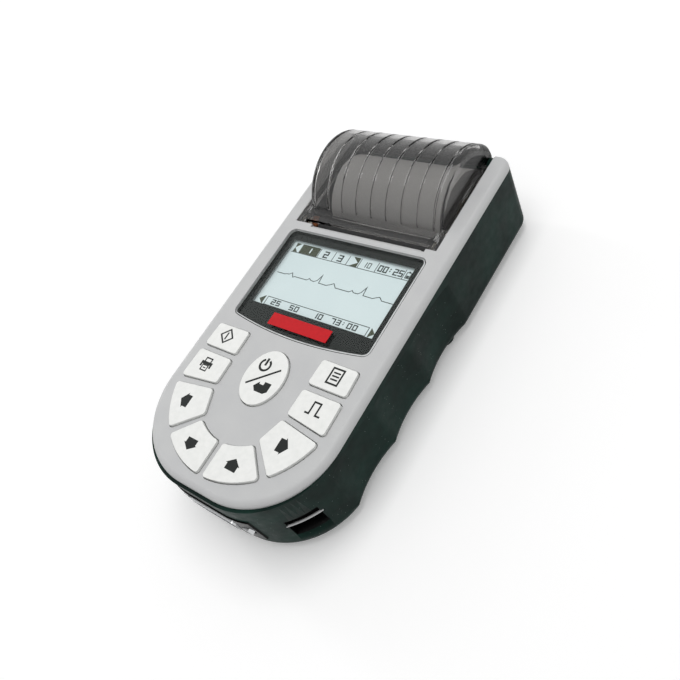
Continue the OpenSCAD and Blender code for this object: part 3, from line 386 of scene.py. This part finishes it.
def wound_paper():
    finish = Finish("wound_paper", (0.8, 0.8, 0.79), 0.6)
    axis = (0, ROLL_Y * MM, ROLL_Z * MM)
    centre = finish.place.node("VectorMath", {0: finish.place, 1: axis}, operation="SUBTRACT")
    flat = centre.node("VectorMath", {0: centre, 1: (0, 1, 1)}, operation="MULTIPLY")
    radius = flat.node("VectorMath", {0: flat}, operation="LENGTH", out=1)
    turns = radius.node("Math", {0: radius * (math.tau / (TURN * MM))}, operation="SINE")
    side = finish.place.node("SeparateXYZ", {"Vector": finish.place})
    on_end = (side < ROLL_LEFT * MM) + (side > ROLL_RIGHT * MM)
    shade = turns.between(-1, 1) * on_end
    finish.set("Base Color", shade.tint((0.8, 0.8, 0.79), (0.6, 0.6, 0.59)))
    return finish


def card():
    finish = Finish("core_card", (0.4, 0.28, 0.16), 0.7)
    finish.wear((0.42, 0.3, 0.17), (0.33, 0.22, 0.12), 1.5, 0.65, 0.8)
    return finish


dress(wound_paper(), "paper_roll", "paper_strip")
dress(card(), "paper_core")

# ------------------------------------------------------------------ display
# A pale reflective display in a steel frame, lit from behind through a milky light guide. The
# picture is a layer of dark shapes on top of its glass: a bar of tabs, a trace and a scale.

GLASS_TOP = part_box("lcd_glass")[1].z
INK_LOW, INK_HIGH = GLASS_TOP - 0.02 * MM, GLASS_TOP + 0.03 * MM
BAR_LOW, BAR_HIGH = 21.4, 26.2
SCALE_LOW, SCALE_HIGH = -6.3, -2.3


def display_pale():
    finish = Finish("display_pale", (0.79, 0.87, 0.9), 0.22)
    glow = finish.place.cloud(30).between(0.3, 0.7)
    finish.set("Base Color", glow.tint((0.765, 0.845, 0.875), (0.82, 0.895, 0.92)))
    return finish


def ink(name, colour, roughness=0.4):
    finish = Finish(name, colour, roughness, Specular_IOR_Level=0.2)
    darker = tuple(0.75 * c for c in colour)
    finish.set("Base Color", finish.place.cloud(1.5).tint(darker, colour))
    return finish


def patch(bm, outline, low, high):
    """A closed flat solid on an outline in millimetres, between two heights in metres."""
    face = bm.faces.new([bm.verts.new((x * MM, y * MM, low)) for x, y in outline])
    raised = bmesh.ops.extrude_face_region(bm, geom=[face])["geom"]
    top = [v for v in raised if isinstance(v, bmesh.types.BMVert)]
    bmesh.ops.translate(bm, verts=top, vec=(0, 0, high - low))
    bmesh.ops.recalc_face_normals(bm, faces=bm.faces)


def rectangle(x0, x1, y0, y1):
    return [(x0, y0), (x1, y0), (x1, y1), (x0, y1)]


def line(bm, points, width, low, high, closed=False):
    """A line of even width with mitred corners, as a closed solid."""
    wall = bmesh.new()
    verts = [wall.verts.new((x * MM, y * MM, low)) for x, y in points]
    pairs = list(zip(verts, verts[1:])) + ([(verts[-1], verts[0])] if closed else [])
    edges = [wall.edges.new(pair) for pair in pairs]
    raised = bmesh.ops.extrude_edge_only(wall, edges=edges)["geom"]
    top = [v for v in raised if isinstance(v, bmesh.types.BMVert)]
    bmesh.ops.translate(wall, verts=top, vec=(0, 0, high - low))
    bmesh.ops.recalc_face_normals(wall, faces=wall.faces)
    mesh = bpy.data.meshes.new("wall")
    wall.to_mesh(mesh)
    wall.free()
    form = bpy.data.objects.new("wall", mesh)
    bpy.context.scene.collection.objects.link(form)
    thick = form.modifiers.new("thick", "SOLIDIFY")
    thick.thickness = width * MM
    thick.offset = 0
    thick.use_even_offset = True
    solid = form.evaluated_get(bpy.context.evaluated_depsgraph_get()).to_mesh()
    bm.from_mesh(solid)
    form.to_mesh_clear()
    bpy.data.objects.remove(form)
    bpy.data.meshes.remove(mesh)


SEGMENTS = {"a": (0, 2, 1, 2), "b": (1, 2, 1, 1), "c": (1, 1, 1, 0), "d": (0, 0, 1, 0),
            "e": (0, 1, 0, 0), "f": (0, 2, 0, 1), "g": (0, 1, 1, 1)}
DIGITS = {"0": "abcdef", "1": "bc", "2": "abged", "3": "abgcd", "5": "afgcd", "7": "abc"}


def digits(bm, text, x, y, width, height, weight, step):
    """Plain bar digits, the lower left corner of the first at x, y."""
    for place, sign in enumerate(text):
        left = x + place * step
        if sign == ":":
            for up in (0.3, 0.7):
                dot = rectangle(left + 0.2, left + 0.2 + weight, y + up * height,
                                y + up * height + weight)
                patch(bm, dot, INK_LOW, INK_HIGH)
        for name in DIGITS.get(sign, ""):
            x0, y0, x1, y1 = SEGMENTS[name]
            bar = rectangle(left + x0 * width - weight / 2, left + x1 * width + weight / 2,
                            y + min(y0, y1) * height / 2 - weight / 2,
                            y + max(y0, y1) * height / 2 + weight / 2)
            patch(bm, bar, INK_LOW, INK_HIGH)


TRACE = [(-30.2, 9.9), (-25.6, 9.9), (-24.6, 10.3), (-23.6, 10.3), (-22.3, 11.4), (-20.9, 9.4),
         (-20, 9.9), (-13.4, 9.9), (-12.4, 10.9), (-11.2, 10.2), (-9.7, 10.1), (-8.3, 11),
         (-7.3, 13.8), (-6.9, 10), (-3, 9.9), (-1.4, 10.6), (0.2, 11.7), (2, 9.9), (9, 9.9),
         (10.1, 10.9), (11.2, 10.1), (13.3, 10.1), (14.4, 11), (15.6, 13.9), (16, 10),
         (20.6, 9.9), (22.3, 10.8), (23.4, 11.3), (25.1, 9.9), (31.3, 9.9)]


def display_lines():
    """Everything on the display that is drawn in thin dark lines."""
    bm = bmesh.new()

    def thin(points, width=0.3, closed=False):
        line(bm, points, width, INK_LOW, INK_HIGH, closed)

    thin(TRACE, 0.34)
    thin([(-30.6, BAR_LOW), (31.4, BAR_LOW)])
    for x in (-16, -8, -0.4, 5.6, 14.2, 27.4, 31.3):
        thin([(x, BAR_LOW + 0.1), (x, BAR_HIGH)])
    thin(rectangle(-26, 27, SCALE_LOW, SCALE_HIGH), 0.32, closed=True)
    for text, x in (("2", -13.1), ("3", -5.4)):
        digits(bm, text, x, 22.4, 1.9, 2.8, 0.62, 3)
    digits(bm, "10", 7.6, 22.6, 1.3, 2.3, 0.36, 2.3)
    digits(bm, "00:25", 15.4, 22.5, 1.5, 2.6, 0.55, 2.45)
    for text, x in (("25", -22.6), ("50", -12.4), ("10", 0.4), ("73:00", 9.6)):
        digits(bm, text, x, -5.3, 1.6, 2.1, 0.5, 2.7)
    # battery mark
    thin(rectangle(28.4, 30.4, 22.3, 25), closed=True)
    for block in (rectangle(29, 29.8, 25, 25.6), rectangle(28.7, 30.1, 22.5, 23.6)):
        patch(bm, block, INK_LOW, INK_HIGH)
    return bm


def display_tiles():
    """The filled marks: the chosen tab and the arrows at the ends of both rows."""
    bm = bmesh.new()
    foot = BAR_LOW + 0.2
    # the chosen tab is filled in round a bare figure one
    left, right = -26.4, -16.4
    one_left, one_right, one_low, one_high = -21.15, -20.45, 22.6, 25.2
    tab = [rectangle(left, one_left, foot, BAR_HIGH), rectangle(one_right, right, foot, BAR_HIGH),
           rectangle(one_left, one_right, foot, one_low),
           rectangle(one_left, one_right, one_high, BAR_HIGH)]
    half = (BAR_LOW + BAR_HIGH) / 2
    corners = [[(-29.9, BAR_HIGH), (-29.6, half), (-27.3, BAR_HIGH)],
               [(-29.9, foot), (-27.3, foot), (-29.6, half)],
               [(1.4, foot), (5, foot), (5, half), (4.6, half)],
               [(1.4, BAR_HIGH), (4.6, half), (5, half), (5, BAR_HIGH)]]
    half = (SCALE_LOW + SCALE_HIGH) / 2
    low, high = SCALE_LOW - 0.2, SCALE_HIGH + 0.2
    ends = [[(-29.9, half), (-27.2, low), (-27.2, high)], [(30.6, half), (28.1, high), (28.1, low)]]
    for outline in tab + corners + ends:
        patch(bm, outline, INK_LOW, INK_HIGH)
    return bm


dress(display_pale(), "lcd_glass")
dress(moulded("guide_milk", (0.7, 0.72, 0.7), 0.35), "lcd_light_guide")
dress(steel, "lcd_frame")
made("display_lines", display_lines(), ink("display_ink", (0.06, 0.075, 0.075)),
             "housing", even=False)
made("display_tiles", display_tiles(), ink("display_olive", (0.075, 0.085, 0.055)),
             "housing", even=False)

# ------------------------------------------------------------------ keys
# Nine off-white silicone keys on one mat. Each has a broad sloped edge round a flat top, and a
# black print on the top.

KEY_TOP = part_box("key_power")[1].z
SLOPE = [(0, 0.62), (0.1, 0.52), (0.3, 0.41), (0.5, 0.3), (0.7, 0.19), (0.85, 0.1), (0.95, 0.05),
         (1.05, 0.015), (1.15, 0)]
SHORTEST_EDGE = 0.07
KEY_NAMES = ("power", "lead", "menu", "print", "pulse", "left", "right", "down", "up")


def rim_edges(bm, height):
    """The sharp edges that lie at one height."""
    return [e for e in bm.edges
            if all(abs(v.co.z - height) < SAME_LEVEL * MM for v in e.verts)
            and len(e.link_faces) == 2 and e.calc_face_angle() > 0.5]


def key_cap(name):
    """The flat top shrinks in small steps, and short edges are merged at each, so that the
    round corners stay clean."""
    bm = worked("key_" + name)
    level = [f for f in bm.faces if abs(f.calc_center_median().z - KEY_TOP) < SAME_LEVEL * MM]
    top = max(level, key=lambda f: f.calc_area())
    height = {v: SLOPE[0][1] for v in top.verts}
    for (before, _), (inward, drop) in zip(SLOPE, SLOPE[1:]):
        bmesh.ops.inset_region(bm, faces=[top], thickness=(inward - before) * MM,
                               use_even_offset=True)
        bmesh.ops.remove_doubles(bm, verts=top.verts, dist=SHORTEST_EDGE * MM)
        height.update({v: drop for v in top.verts})
    for vert, drop in height.items():
        if vert.is_valid:
            vert.co.z = KEY_TOP - drop * MM
    return bm


def key_finish():
    finish = Finish("key_silicone", (0.87, 0.88, 0.86), 0.5)
    blotch = finish.place.cloud(2.2, 5).between(0.3, 0.7)
    finish.set("Base Color", blotch.tint((0.84, 0.85, 0.83), (0.91, 0.915, 0.895)))
    finish.set("Roughness", blotch * 0.1 + 0.42)
    finish.grain(0.5, 0.01)
    return finish


key_silicone = key_finish()
for key in KEY_NAMES:
    cap = made("cap_" + key, key_cap(key), key_silicone, "key_" + key, sharp=25)
    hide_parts("key_" + key)
dress(moulded("mat_silicone", (0.4, 0.4, 0.38), 0.6), "key_mat")


def arc(x, y, radius, start, end, steps):
    """Points of an arc, the angles in degrees."""
    turns = [math.radians(start + (end - start) * i / steps) for i in range(steps + 1)]
    return [(x + radius * math.cos(t), y + radius * math.sin(t)) for t in turns]


def turned(points, degrees, x, y):
    """Points turned about the origin and then moved."""
    spin = Matrix.Rotation(math.radians(degrees), 2)
    return [tuple(spin @ Vector(p) + Vector((x, y))) for p in points]


PRINT_LOW, PRINT_HIGH = KEY_TOP - 0.03 * MM, KEY_TOP + 0.02 * MM
ARROW = [(-2.6, -2.6), (2.6, -2.6), (2.6, -0.3), (3.4, -0.3), (0, 2.2), (-3.4, -0.3),
         (-2.6, -0.3)]
# where each arrow sits, and its turn in degrees
ARROW_AT = {"left": (-27.5, -57.5, 90), "right": (25.5, -57.5, -90),
            "down": (-11.8, -71.8, 180), "up": (10.8, -70.8, 0)}


def stroke(bm, points, width, closed=False):
    line(bm, points, width, PRINT_LOW, PRINT_HIGH, closed)


def blot(bm, outline):
    patch(bm, outline, PRINT_LOW, PRINT_HIGH)


def print_lead(bm):
    stroke(bm, [(-32, -26.7), (-28.7, -23.4), (-25.5, -26.7), (-28.7, -29.9)], 0.72, closed=True)
    stroke(bm, [(-28.9, -24.9), (-28.9, -28.4)], 0.7)


def print_menu(bm):
    stroke(bm, rectangle(25.95, 30.95, -29.8, -23.5), 0.75, closed=True)
    for y in (-25.2, -26.6, -28):
        stroke(bm, [(26.9, y), (30.1, y)], 0.65)


def print_print(bm):
    """A small printer with a sheet in it."""
    x, y = -29.2, -40.8
    body = [(-3, -1.5), (-3, 1.1), (3, 1.1), (3, -1.5), (2.1, -1.5), (2.1, -0.2), (-2.1, -0.2),
            (-2.1, -1.5)]
    blot(bm, turned(body, 0, x, y))
    stroke(bm, [(x - 1.6, y + 1), (x - 1.6, y + 2.7), (x + 1.6, y + 2.7), (x + 1.6, y + 1)], 0.6)
    stroke(bm, rectangle(x - 1.5, x + 1.5, y - 2.9, y - 0.5), 0.55, closed=True)
    stroke(bm, [(x - 0.7, y - 1.7), (x + 0.7, y - 1.7)], 0.5)


def print_pulse(bm):
    stroke(bm, [(25, -43), (26.9, -43), (26.9, -38.2), (29.9, -38.2), (29.9, -43), (32, -43)],
           0.72)


def print_power(bm):
    """The switch mark over a slash, and the feed mark under it."""
    stroke(bm, arc(-2.7, -32.2, 2.4, 118, 422, 28), 0.95)
    stroke(bm, [(-2.7, -29.1), (-2.7, -32.4)], 1.05)
    stroke(bm, [(-6.2, -41.6), (5.5, -31.9)], 0.85)
    blot(bm, [(-2.1, -41.4), (-0.2, -43.4), (-0.1, -43.2), (3.9, -43.2), (5.4, -42),
              (5.4, -38.4), (2.1, -38.4), (2.1, -39.9), (0.1, -39.9), (-0.2, -39)])


PICTURES = {"power": print_power, "lead": print_lead, "menu": print_menu, "print": print_print,
            "pulse": print_pulse}
key_ink = ink("key_ink", (0.008, 0.011, 0.01), 0.45)
for key in KEY_NAMES:
    bm = bmesh.new()
    if key in ARROW_AT:
        x, y, turn = ARROW_AT[key]
        blot(bm, turned(ARROW, turn, x, y))
    else:
        PICTURES[key](bm)
    made("print_" + key, bm, key_ink, "key_" + key, even=False)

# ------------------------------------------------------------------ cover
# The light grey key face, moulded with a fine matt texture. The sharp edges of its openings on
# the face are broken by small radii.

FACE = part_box("top_cover")[1].z
RIM_ROUND = 0.28


def cover_mesh():
    bm = worked("top_cover")
    soften(bm, rim_edges(bm, FACE), RIM_ROUND, 2)
    return bm


def cover_finish():
    finish = Finish("cover_grey", (0.55, 0.555, 0.56), 0.5)
    blotch = finish.place.cloud(9, 4).between(0.3, 0.7)
    finish.set("Base Color", blotch.tint((0.535, 0.54, 0.545), (0.565, 0.57, 0.57)))
    finish.set("Roughness", finish.place.cloud(1.5).between(0.2, 0.8) * 0.12 + 0.44)
    finish.grain(0.3, 0.012)
    return finish


grey_plastic = cover_finish()
cover = made("cover_shell", cover_mesh(), grey_plastic, "housing", sharp=25)
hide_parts("top_cover")

# ------------------------------------------------------------------ strap bar
# A slim round bar across the strap pocket, moulded in the cover's grey. It is bowed like the
# nose, and its ends sit in the seats of the case.

BAR_HALF, BAR_R = 7.45, 0.5
BAR_IN, BAR_UP = 1.35, 1.45
BOW_OUT, BOW_DOWN = 0.5, 0.2
BAR_RINGS, BAR_SIDES = 17, 16


def bar_mesh():
    """Rings of vertices along the bar, in the pocket's own axes until the last step."""
    bm = bmesh.new()
    rings = []
    for step in range(BAR_RINGS):
        along = 2 * step / (BAR_RINGS - 1) - 1
        bow = 1 - along ** 2
        x, z = NOSE_R - BAR_IN + BOW_OUT * bow, BAR_UP - BOW_DOWN * bow
        section = arc(0, 0, BAR_R, 0, 360 - 360 / BAR_SIDES, BAR_SIDES - 1)
        rings.append([bm.verts.new((x + a, along * BAR_HALF, z + b)) for a, b in section])
    bm.faces.new(rings[0])
    bm.faces.new(rings[-1])
    for one, two in zip(rings, rings[1:]):
        for i in range(BAR_SIDES):
            bm.faces.new((one[i - 1], one[i], two[i], two[i - 1]))
    bmesh.ops.recalc_face_normals(bm, faces=bm.faces)
    bm.transform(Matrix.Diagonal((MM, MM, MM, 1)) @ Matrix.Translation(POCKET)
                 @ Matrix.Rotation(math.radians(POCKET_TURN), 4, "Z"))
    return bm


bar = made("slim_bar", bar_mesh(), grey_plastic, "housing", sharp=40)
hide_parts("strap_bar")

# ------------------------------------------------------------------ window
# Clear acrylic, black-printed behind all round the picture. Its bevel is painted near-white and
# opaque as a painted highlight. The red label under the picture is left plain.


def window_clear():
    """Lets light and sight straight through. Only its gloss shows, more so at a low angle."""
    finish = Finish("window_clear", (0.9, 0.9, 0.9), 0.03, 1.0)
    tree = finish.material.node_tree
    clear = tree.nodes.new("ShaderNodeBsdfTransparent")
    clear.inputs["Color"].default_value = (0.97, 0.985, 0.98, 1)
    facing = finish.place.node("LayerWeight", {"Blend": 0.5}, out=1)
    mix = tree.nodes.new("ShaderNodeMixShader")
    tree.links.new((facing ** 5 * 0.6 + 0.012).socket, mix.inputs[0])
    tree.links.new(clear.outputs[0], mix.inputs[1])
    tree.links.new(finish.shader.outputs[0], mix.inputs[2])
    tree.links.new(mix.outputs[0], finish.output.inputs["Surface"])
    return finish


WINDOW_MIDDLE = 6.4
GAP_X, GAP_Y = 0.9937, 0.991
HIGHLIGHT_BEVEL, AIR_FILM = 0.35, 0.02


def window_mesh():
    """A little smaller than the opening, so that a gap shows all round."""
    bm = worked("window")
    top = max(v.co.z for v in bm.verts)
    low = min(v.co.z for v in bm.verts)
    middle = Matrix.Translation((0, WINDOW_MIDDLE * MM, 0))
    smaller = middle @ Matrix.Diagonal((GAP_X, GAP_Y, 1, 1)) @ middle.inverted()
    bmesh.ops.transform(bm, verts=bm.verts, matrix=smaller)
    # the bevel faces take the second material, a near-white painted highlight
    for face in soften(bm, rim_edges(bm, top), HIGHLIGHT_BEVEL, 1):
        face.material_index = 1
    for vert in bm.verts:
        if vert.co.z < low + SAME_LEVEL * MM:
            vert.co.z += AIR_FILM * MM  # it lies clear of the print
    return bm


window = made("window_pane", window_mesh(), window_clear(), "housing", sharp=25)
# the second material paints the bevel near-white and opaque, standing in for its highlight
window.data.materials.append(moulded("painted_highlight_edge", (0.86, 0.88, 0.88), 0.12).material)
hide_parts("window")
dress(ink("mask_black", (0.006, 0.009, 0.008), 0.25), "window_mask")
dress(ink("label_red", (0.66, 0.011, 0.018), 0.22), "badge_plate")

# ------------------------------------------------------------------ printer door
# One piece of smoked clear plastic: a dome with nine grooves round it, a flat border, and two
# cheeks that carry the roller. Its rear edge is painted black as shade and rolled round the hinge
# pins.

DOME_Y, DOME_Z, DOME_R, WALL = 67, 27.5, 25.3, 1.7
DOME_END_X = 31.2
LIP_WIDE, LIP_DEEP = 0.34, 0.12
SHADE_FROM_Y, SHADE_TO_Z = 83.5, 44.5
THROUGH = (0.39, 0.385, 0.38)


def smoked_plastic():
    """Lamp light passes straight through it, tinted at both faces, and sight bends."""
    finish = Finish("smoked_clear", THROUGH, 0.03, IOR=1.47, Transmission_Weight=1.0)
    tree = finish.material.node_tree
    passing = tree.nodes.new("ShaderNodeBsdfTransparent")
    passing.inputs["Color"].default_value = (*(c ** 0.5 for c in THROUGH), 1)
    rays = tree.nodes.new("ShaderNodeLightPath")
    mix = tree.nodes.new("ShaderNodeMixShader")
    tree.links.new(rays.outputs["Is Shadow Ray"], mix.inputs[0])
    tree.links.new(finish.shader.outputs[0], mix.inputs[1])
    tree.links.new(passing.outputs[0], mix.inputs[2])
    tree.links.new(mix.outputs[0], finish.output.inputs["Surface"])
    return finish


def from_dome_axis(vert):
    """How far a vertex lies from the axis of the dome, in millimetres."""
    return math.hypot(vert.co.y / MM - DOME_Y, vert.co.z / MM - DOME_Z)


def on_dome(vert, radius):
    """True on the round skin of the dome with this radius, between its two ends."""
    return abs(from_dome_axis(vert) - radius) < 0.03 and abs(vert.co.x) < DOME_END_X * MM


def door_mesh():
    """The lips of the grooves slope gently, so that they catch the light."""
    bm = worked("printer_door", flat=0.02)
    lips = [e for e in bm.edges
            if all(on_dome(v, DOME_R) for v in e.verts) and e.calc_face_angle(0) > 1.2]
    soften(bm, lips, LIP_WIDE, 1)
    for vert in bm.verts:
        if on_dome(vert, DOME_R - LIP_WIDE):
            up = (DOME_R - LIP_DEEP) / from_dome_axis(vert)
            vert.co.y = (DOME_Y + (vert.co.y / MM - DOME_Y) * up) * MM
            vert.co.z = (DOME_Z + (vert.co.z / MM - DOME_Z) * up) * MM
    # painted shade: the faces at the rear edge take the second material, plain black where the
    # hinge area lies in shade
    for face in bm.faces:
        middle = face.calc_center_median()
        if middle.y > SHADE_FROM_Y * MM and middle.z < SHADE_TO_Z * MM:
            face.material_index = 1
    return bm


def round_normals(mesh):
    """The dome is cut into long thin facets: its normals point straight from its axis."""
    normals = [corner.vector.copy() for corner in mesh.corner_normals]
    for face in mesh.polygons:
        spots = [mesh.vertices[i].co for i in face.vertices]
        rays = [Vector((0, p.y - DOME_Y * MM, p.z - DOME_Z * MM)) for p in spots]
        for level in (DOME_R, DOME_R - WALL):
            if all(abs(ray.length - level * MM) < 0.06 * MM for ray in rays):
                side = 1 if face.normal.dot(rays[0]) > 0 else -1
                for corner, ray in zip(face.loop_indices, rays):
                    normals[corner] = ray.normalized() * side
    mesh.normals_split_custom_set(normals)


door = made("smoked_door", door_mesh(), smoked_plastic(), "door", sharp=15, even=False)
round_normals(door.data)
painted_shade_black = black_plastic("hinge_painted_shade", (0.008, 0.008, 0.008), 0.25)
door.data.materials.append(painted_shade_black.material)
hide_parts("printer_door")

pins_low, pins_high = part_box("hinge_pins")
HINGE = (pins_low + pins_high) / 2 / MM
BARREL_R, BARREL_WALL, BARREL_X = 2.55, 0.8, 31.6
BARREL_FROM, BARREL_TO = -62, 48


def barrel_mesh():
    """The rolled edge, which closes the slot behind the roll while the door is shut."""
    bm = bmesh.new()
    outline = (arc(HINGE.y, HINGE.z, BARREL_R, BARREL_TO, BARREL_FROM, 16)
               + arc(HINGE.y, HINGE.z, BARREL_R - BARREL_WALL, BARREL_FROM, BARREL_TO, 16))
    ends = [[bm.verts.new((x * MM, y * MM, z * MM)) for y, z in outline]
            for x in (-BARREL_X, BARREL_X)]
    for end in ends:
        bm.faces.new(end)
    for i in range(len(outline)):
        bm.faces.new((ends[0][i - 1], ends[0][i], ends[1][i], ends[1][i - 1]))
    bmesh.ops.recalc_face_normals(bm, faces=bm.faces)
    return bm


# the rolled edge is painted black, standing in for the shade behind the roll
barrel = made("hinge_barrel", barrel_mesh(), painted_shade_black, "door", even=False)

# ------------------------------------------------------------------ floor, light and camera
# A plain pale floor under a white sky, a soft box overhead and a strip on the left, and the
# camera where the picture was taken from.

FLOOR_HALF, FLOOR_LIFT, SKY = 3, 0.18, 0.5

bm = bmesh.new()
bmesh.ops.create_grid(bm, x_segments=1, y_segments=1, size=FLOOR_HALF)
mesh = bpy.data.meshes.new("floor")
bm.to_mesh(mesh)
bm.free()
floor = bpy.data.objects.new("floor", mesh)
floor_finish = Finish("floor_white", (0.95, 0.95, 0.95), 0.8, Emission_Color=(1, 1, 1))
mesh.materials.append(floor_finish.material)
bpy.context.scene.collection.objects.link(floor)


def seen(tree):
    """1 for what the camera sees, directly or in a gloss or through clear plastic."""
    path = tree.nodes.new("ShaderNodeLightPath")
    direct, gloss, through = (Wire(path.outputs[f"Is {kind} Ray"])
                              for kind in ("Camera", "Glossy", "Transmission"))
    return direct.math("MAXIMUM", direct.math("MAXIMUM", direct, gloss), through)


floor_finish.set("Emission Strength", seen(floor_finish.material.node_tree) * FLOOR_LIFT)

world = bpy.data.worlds.new("sky")
world.use_nodes = True
background = world.node_tree.nodes["Background"]
strength = seen(world.node_tree) * (1 - SKY) + SKY
world.node_tree.links.new(strength.socket, background.inputs["Strength"])
background.inputs["Color"].default_value = (1, 1, 1, 1)
bpy.context.scene.world = world


def lamp(name, wide, long, watts, place, aim):
    """A rectangular area lamp at a place, in metres, turned to a point."""
    light = bpy.data.lights.new(name, "AREA")
    light.shape = "RECTANGLE"
    light.size, light.size_y = wide, long
    light.energy = watts
    thing = bpy.data.objects.new(name, light)
    thing.location = place
    thing.rotation_mode = "QUATERNION"
    thing.rotation_quaternion = (Vector(place) - Vector(aim)).to_track_quat("Z", "Y")
    bpy.context.scene.collection.objects.link(thing)


lamp("soft_box", 0.35, 0.85, 3.6, (-0.02, 0.13, 0.9), (-0.02, 0.13, 0))
lamp("side_strip", 0.12, 0.7, 1.1, (-0.9, 0.12, 0.34), (0, 0.05, 0.03))

CAMERA_AT = Vector((176.8, -98.2, 238.19)) * MM
LOOK_AT = Vector((5.637, -3.907, 19)) * MM
CAMERA_ROLL, CAMERA_LENS = 35, 38.12
camera = bpy.data.cameras.new("camera")
camera.sensor_width = 36
camera.lens = CAMERA_LENS
camera.clip_start = 0.01
camera_object = bpy.data.objects.new("camera", camera)
camera_object.location = CAMERA_AT
camera_object.rotation_mode = "QUATERNION"
aim = (LOOK_AT - CAMERA_AT).to_track_quat("-Z", "Y")
roll = Matrix.Rotation(math.radians(-CAMERA_ROLL), 4, "Z").to_quaternion()
camera_object.rotation_quaternion = aim @ roll
bpy.context.scene.collection.objects.link(camera_object)
bpy.context.scene.camera = camera_object
bpy.context.scene.view_settings.view_transform = "Standard"
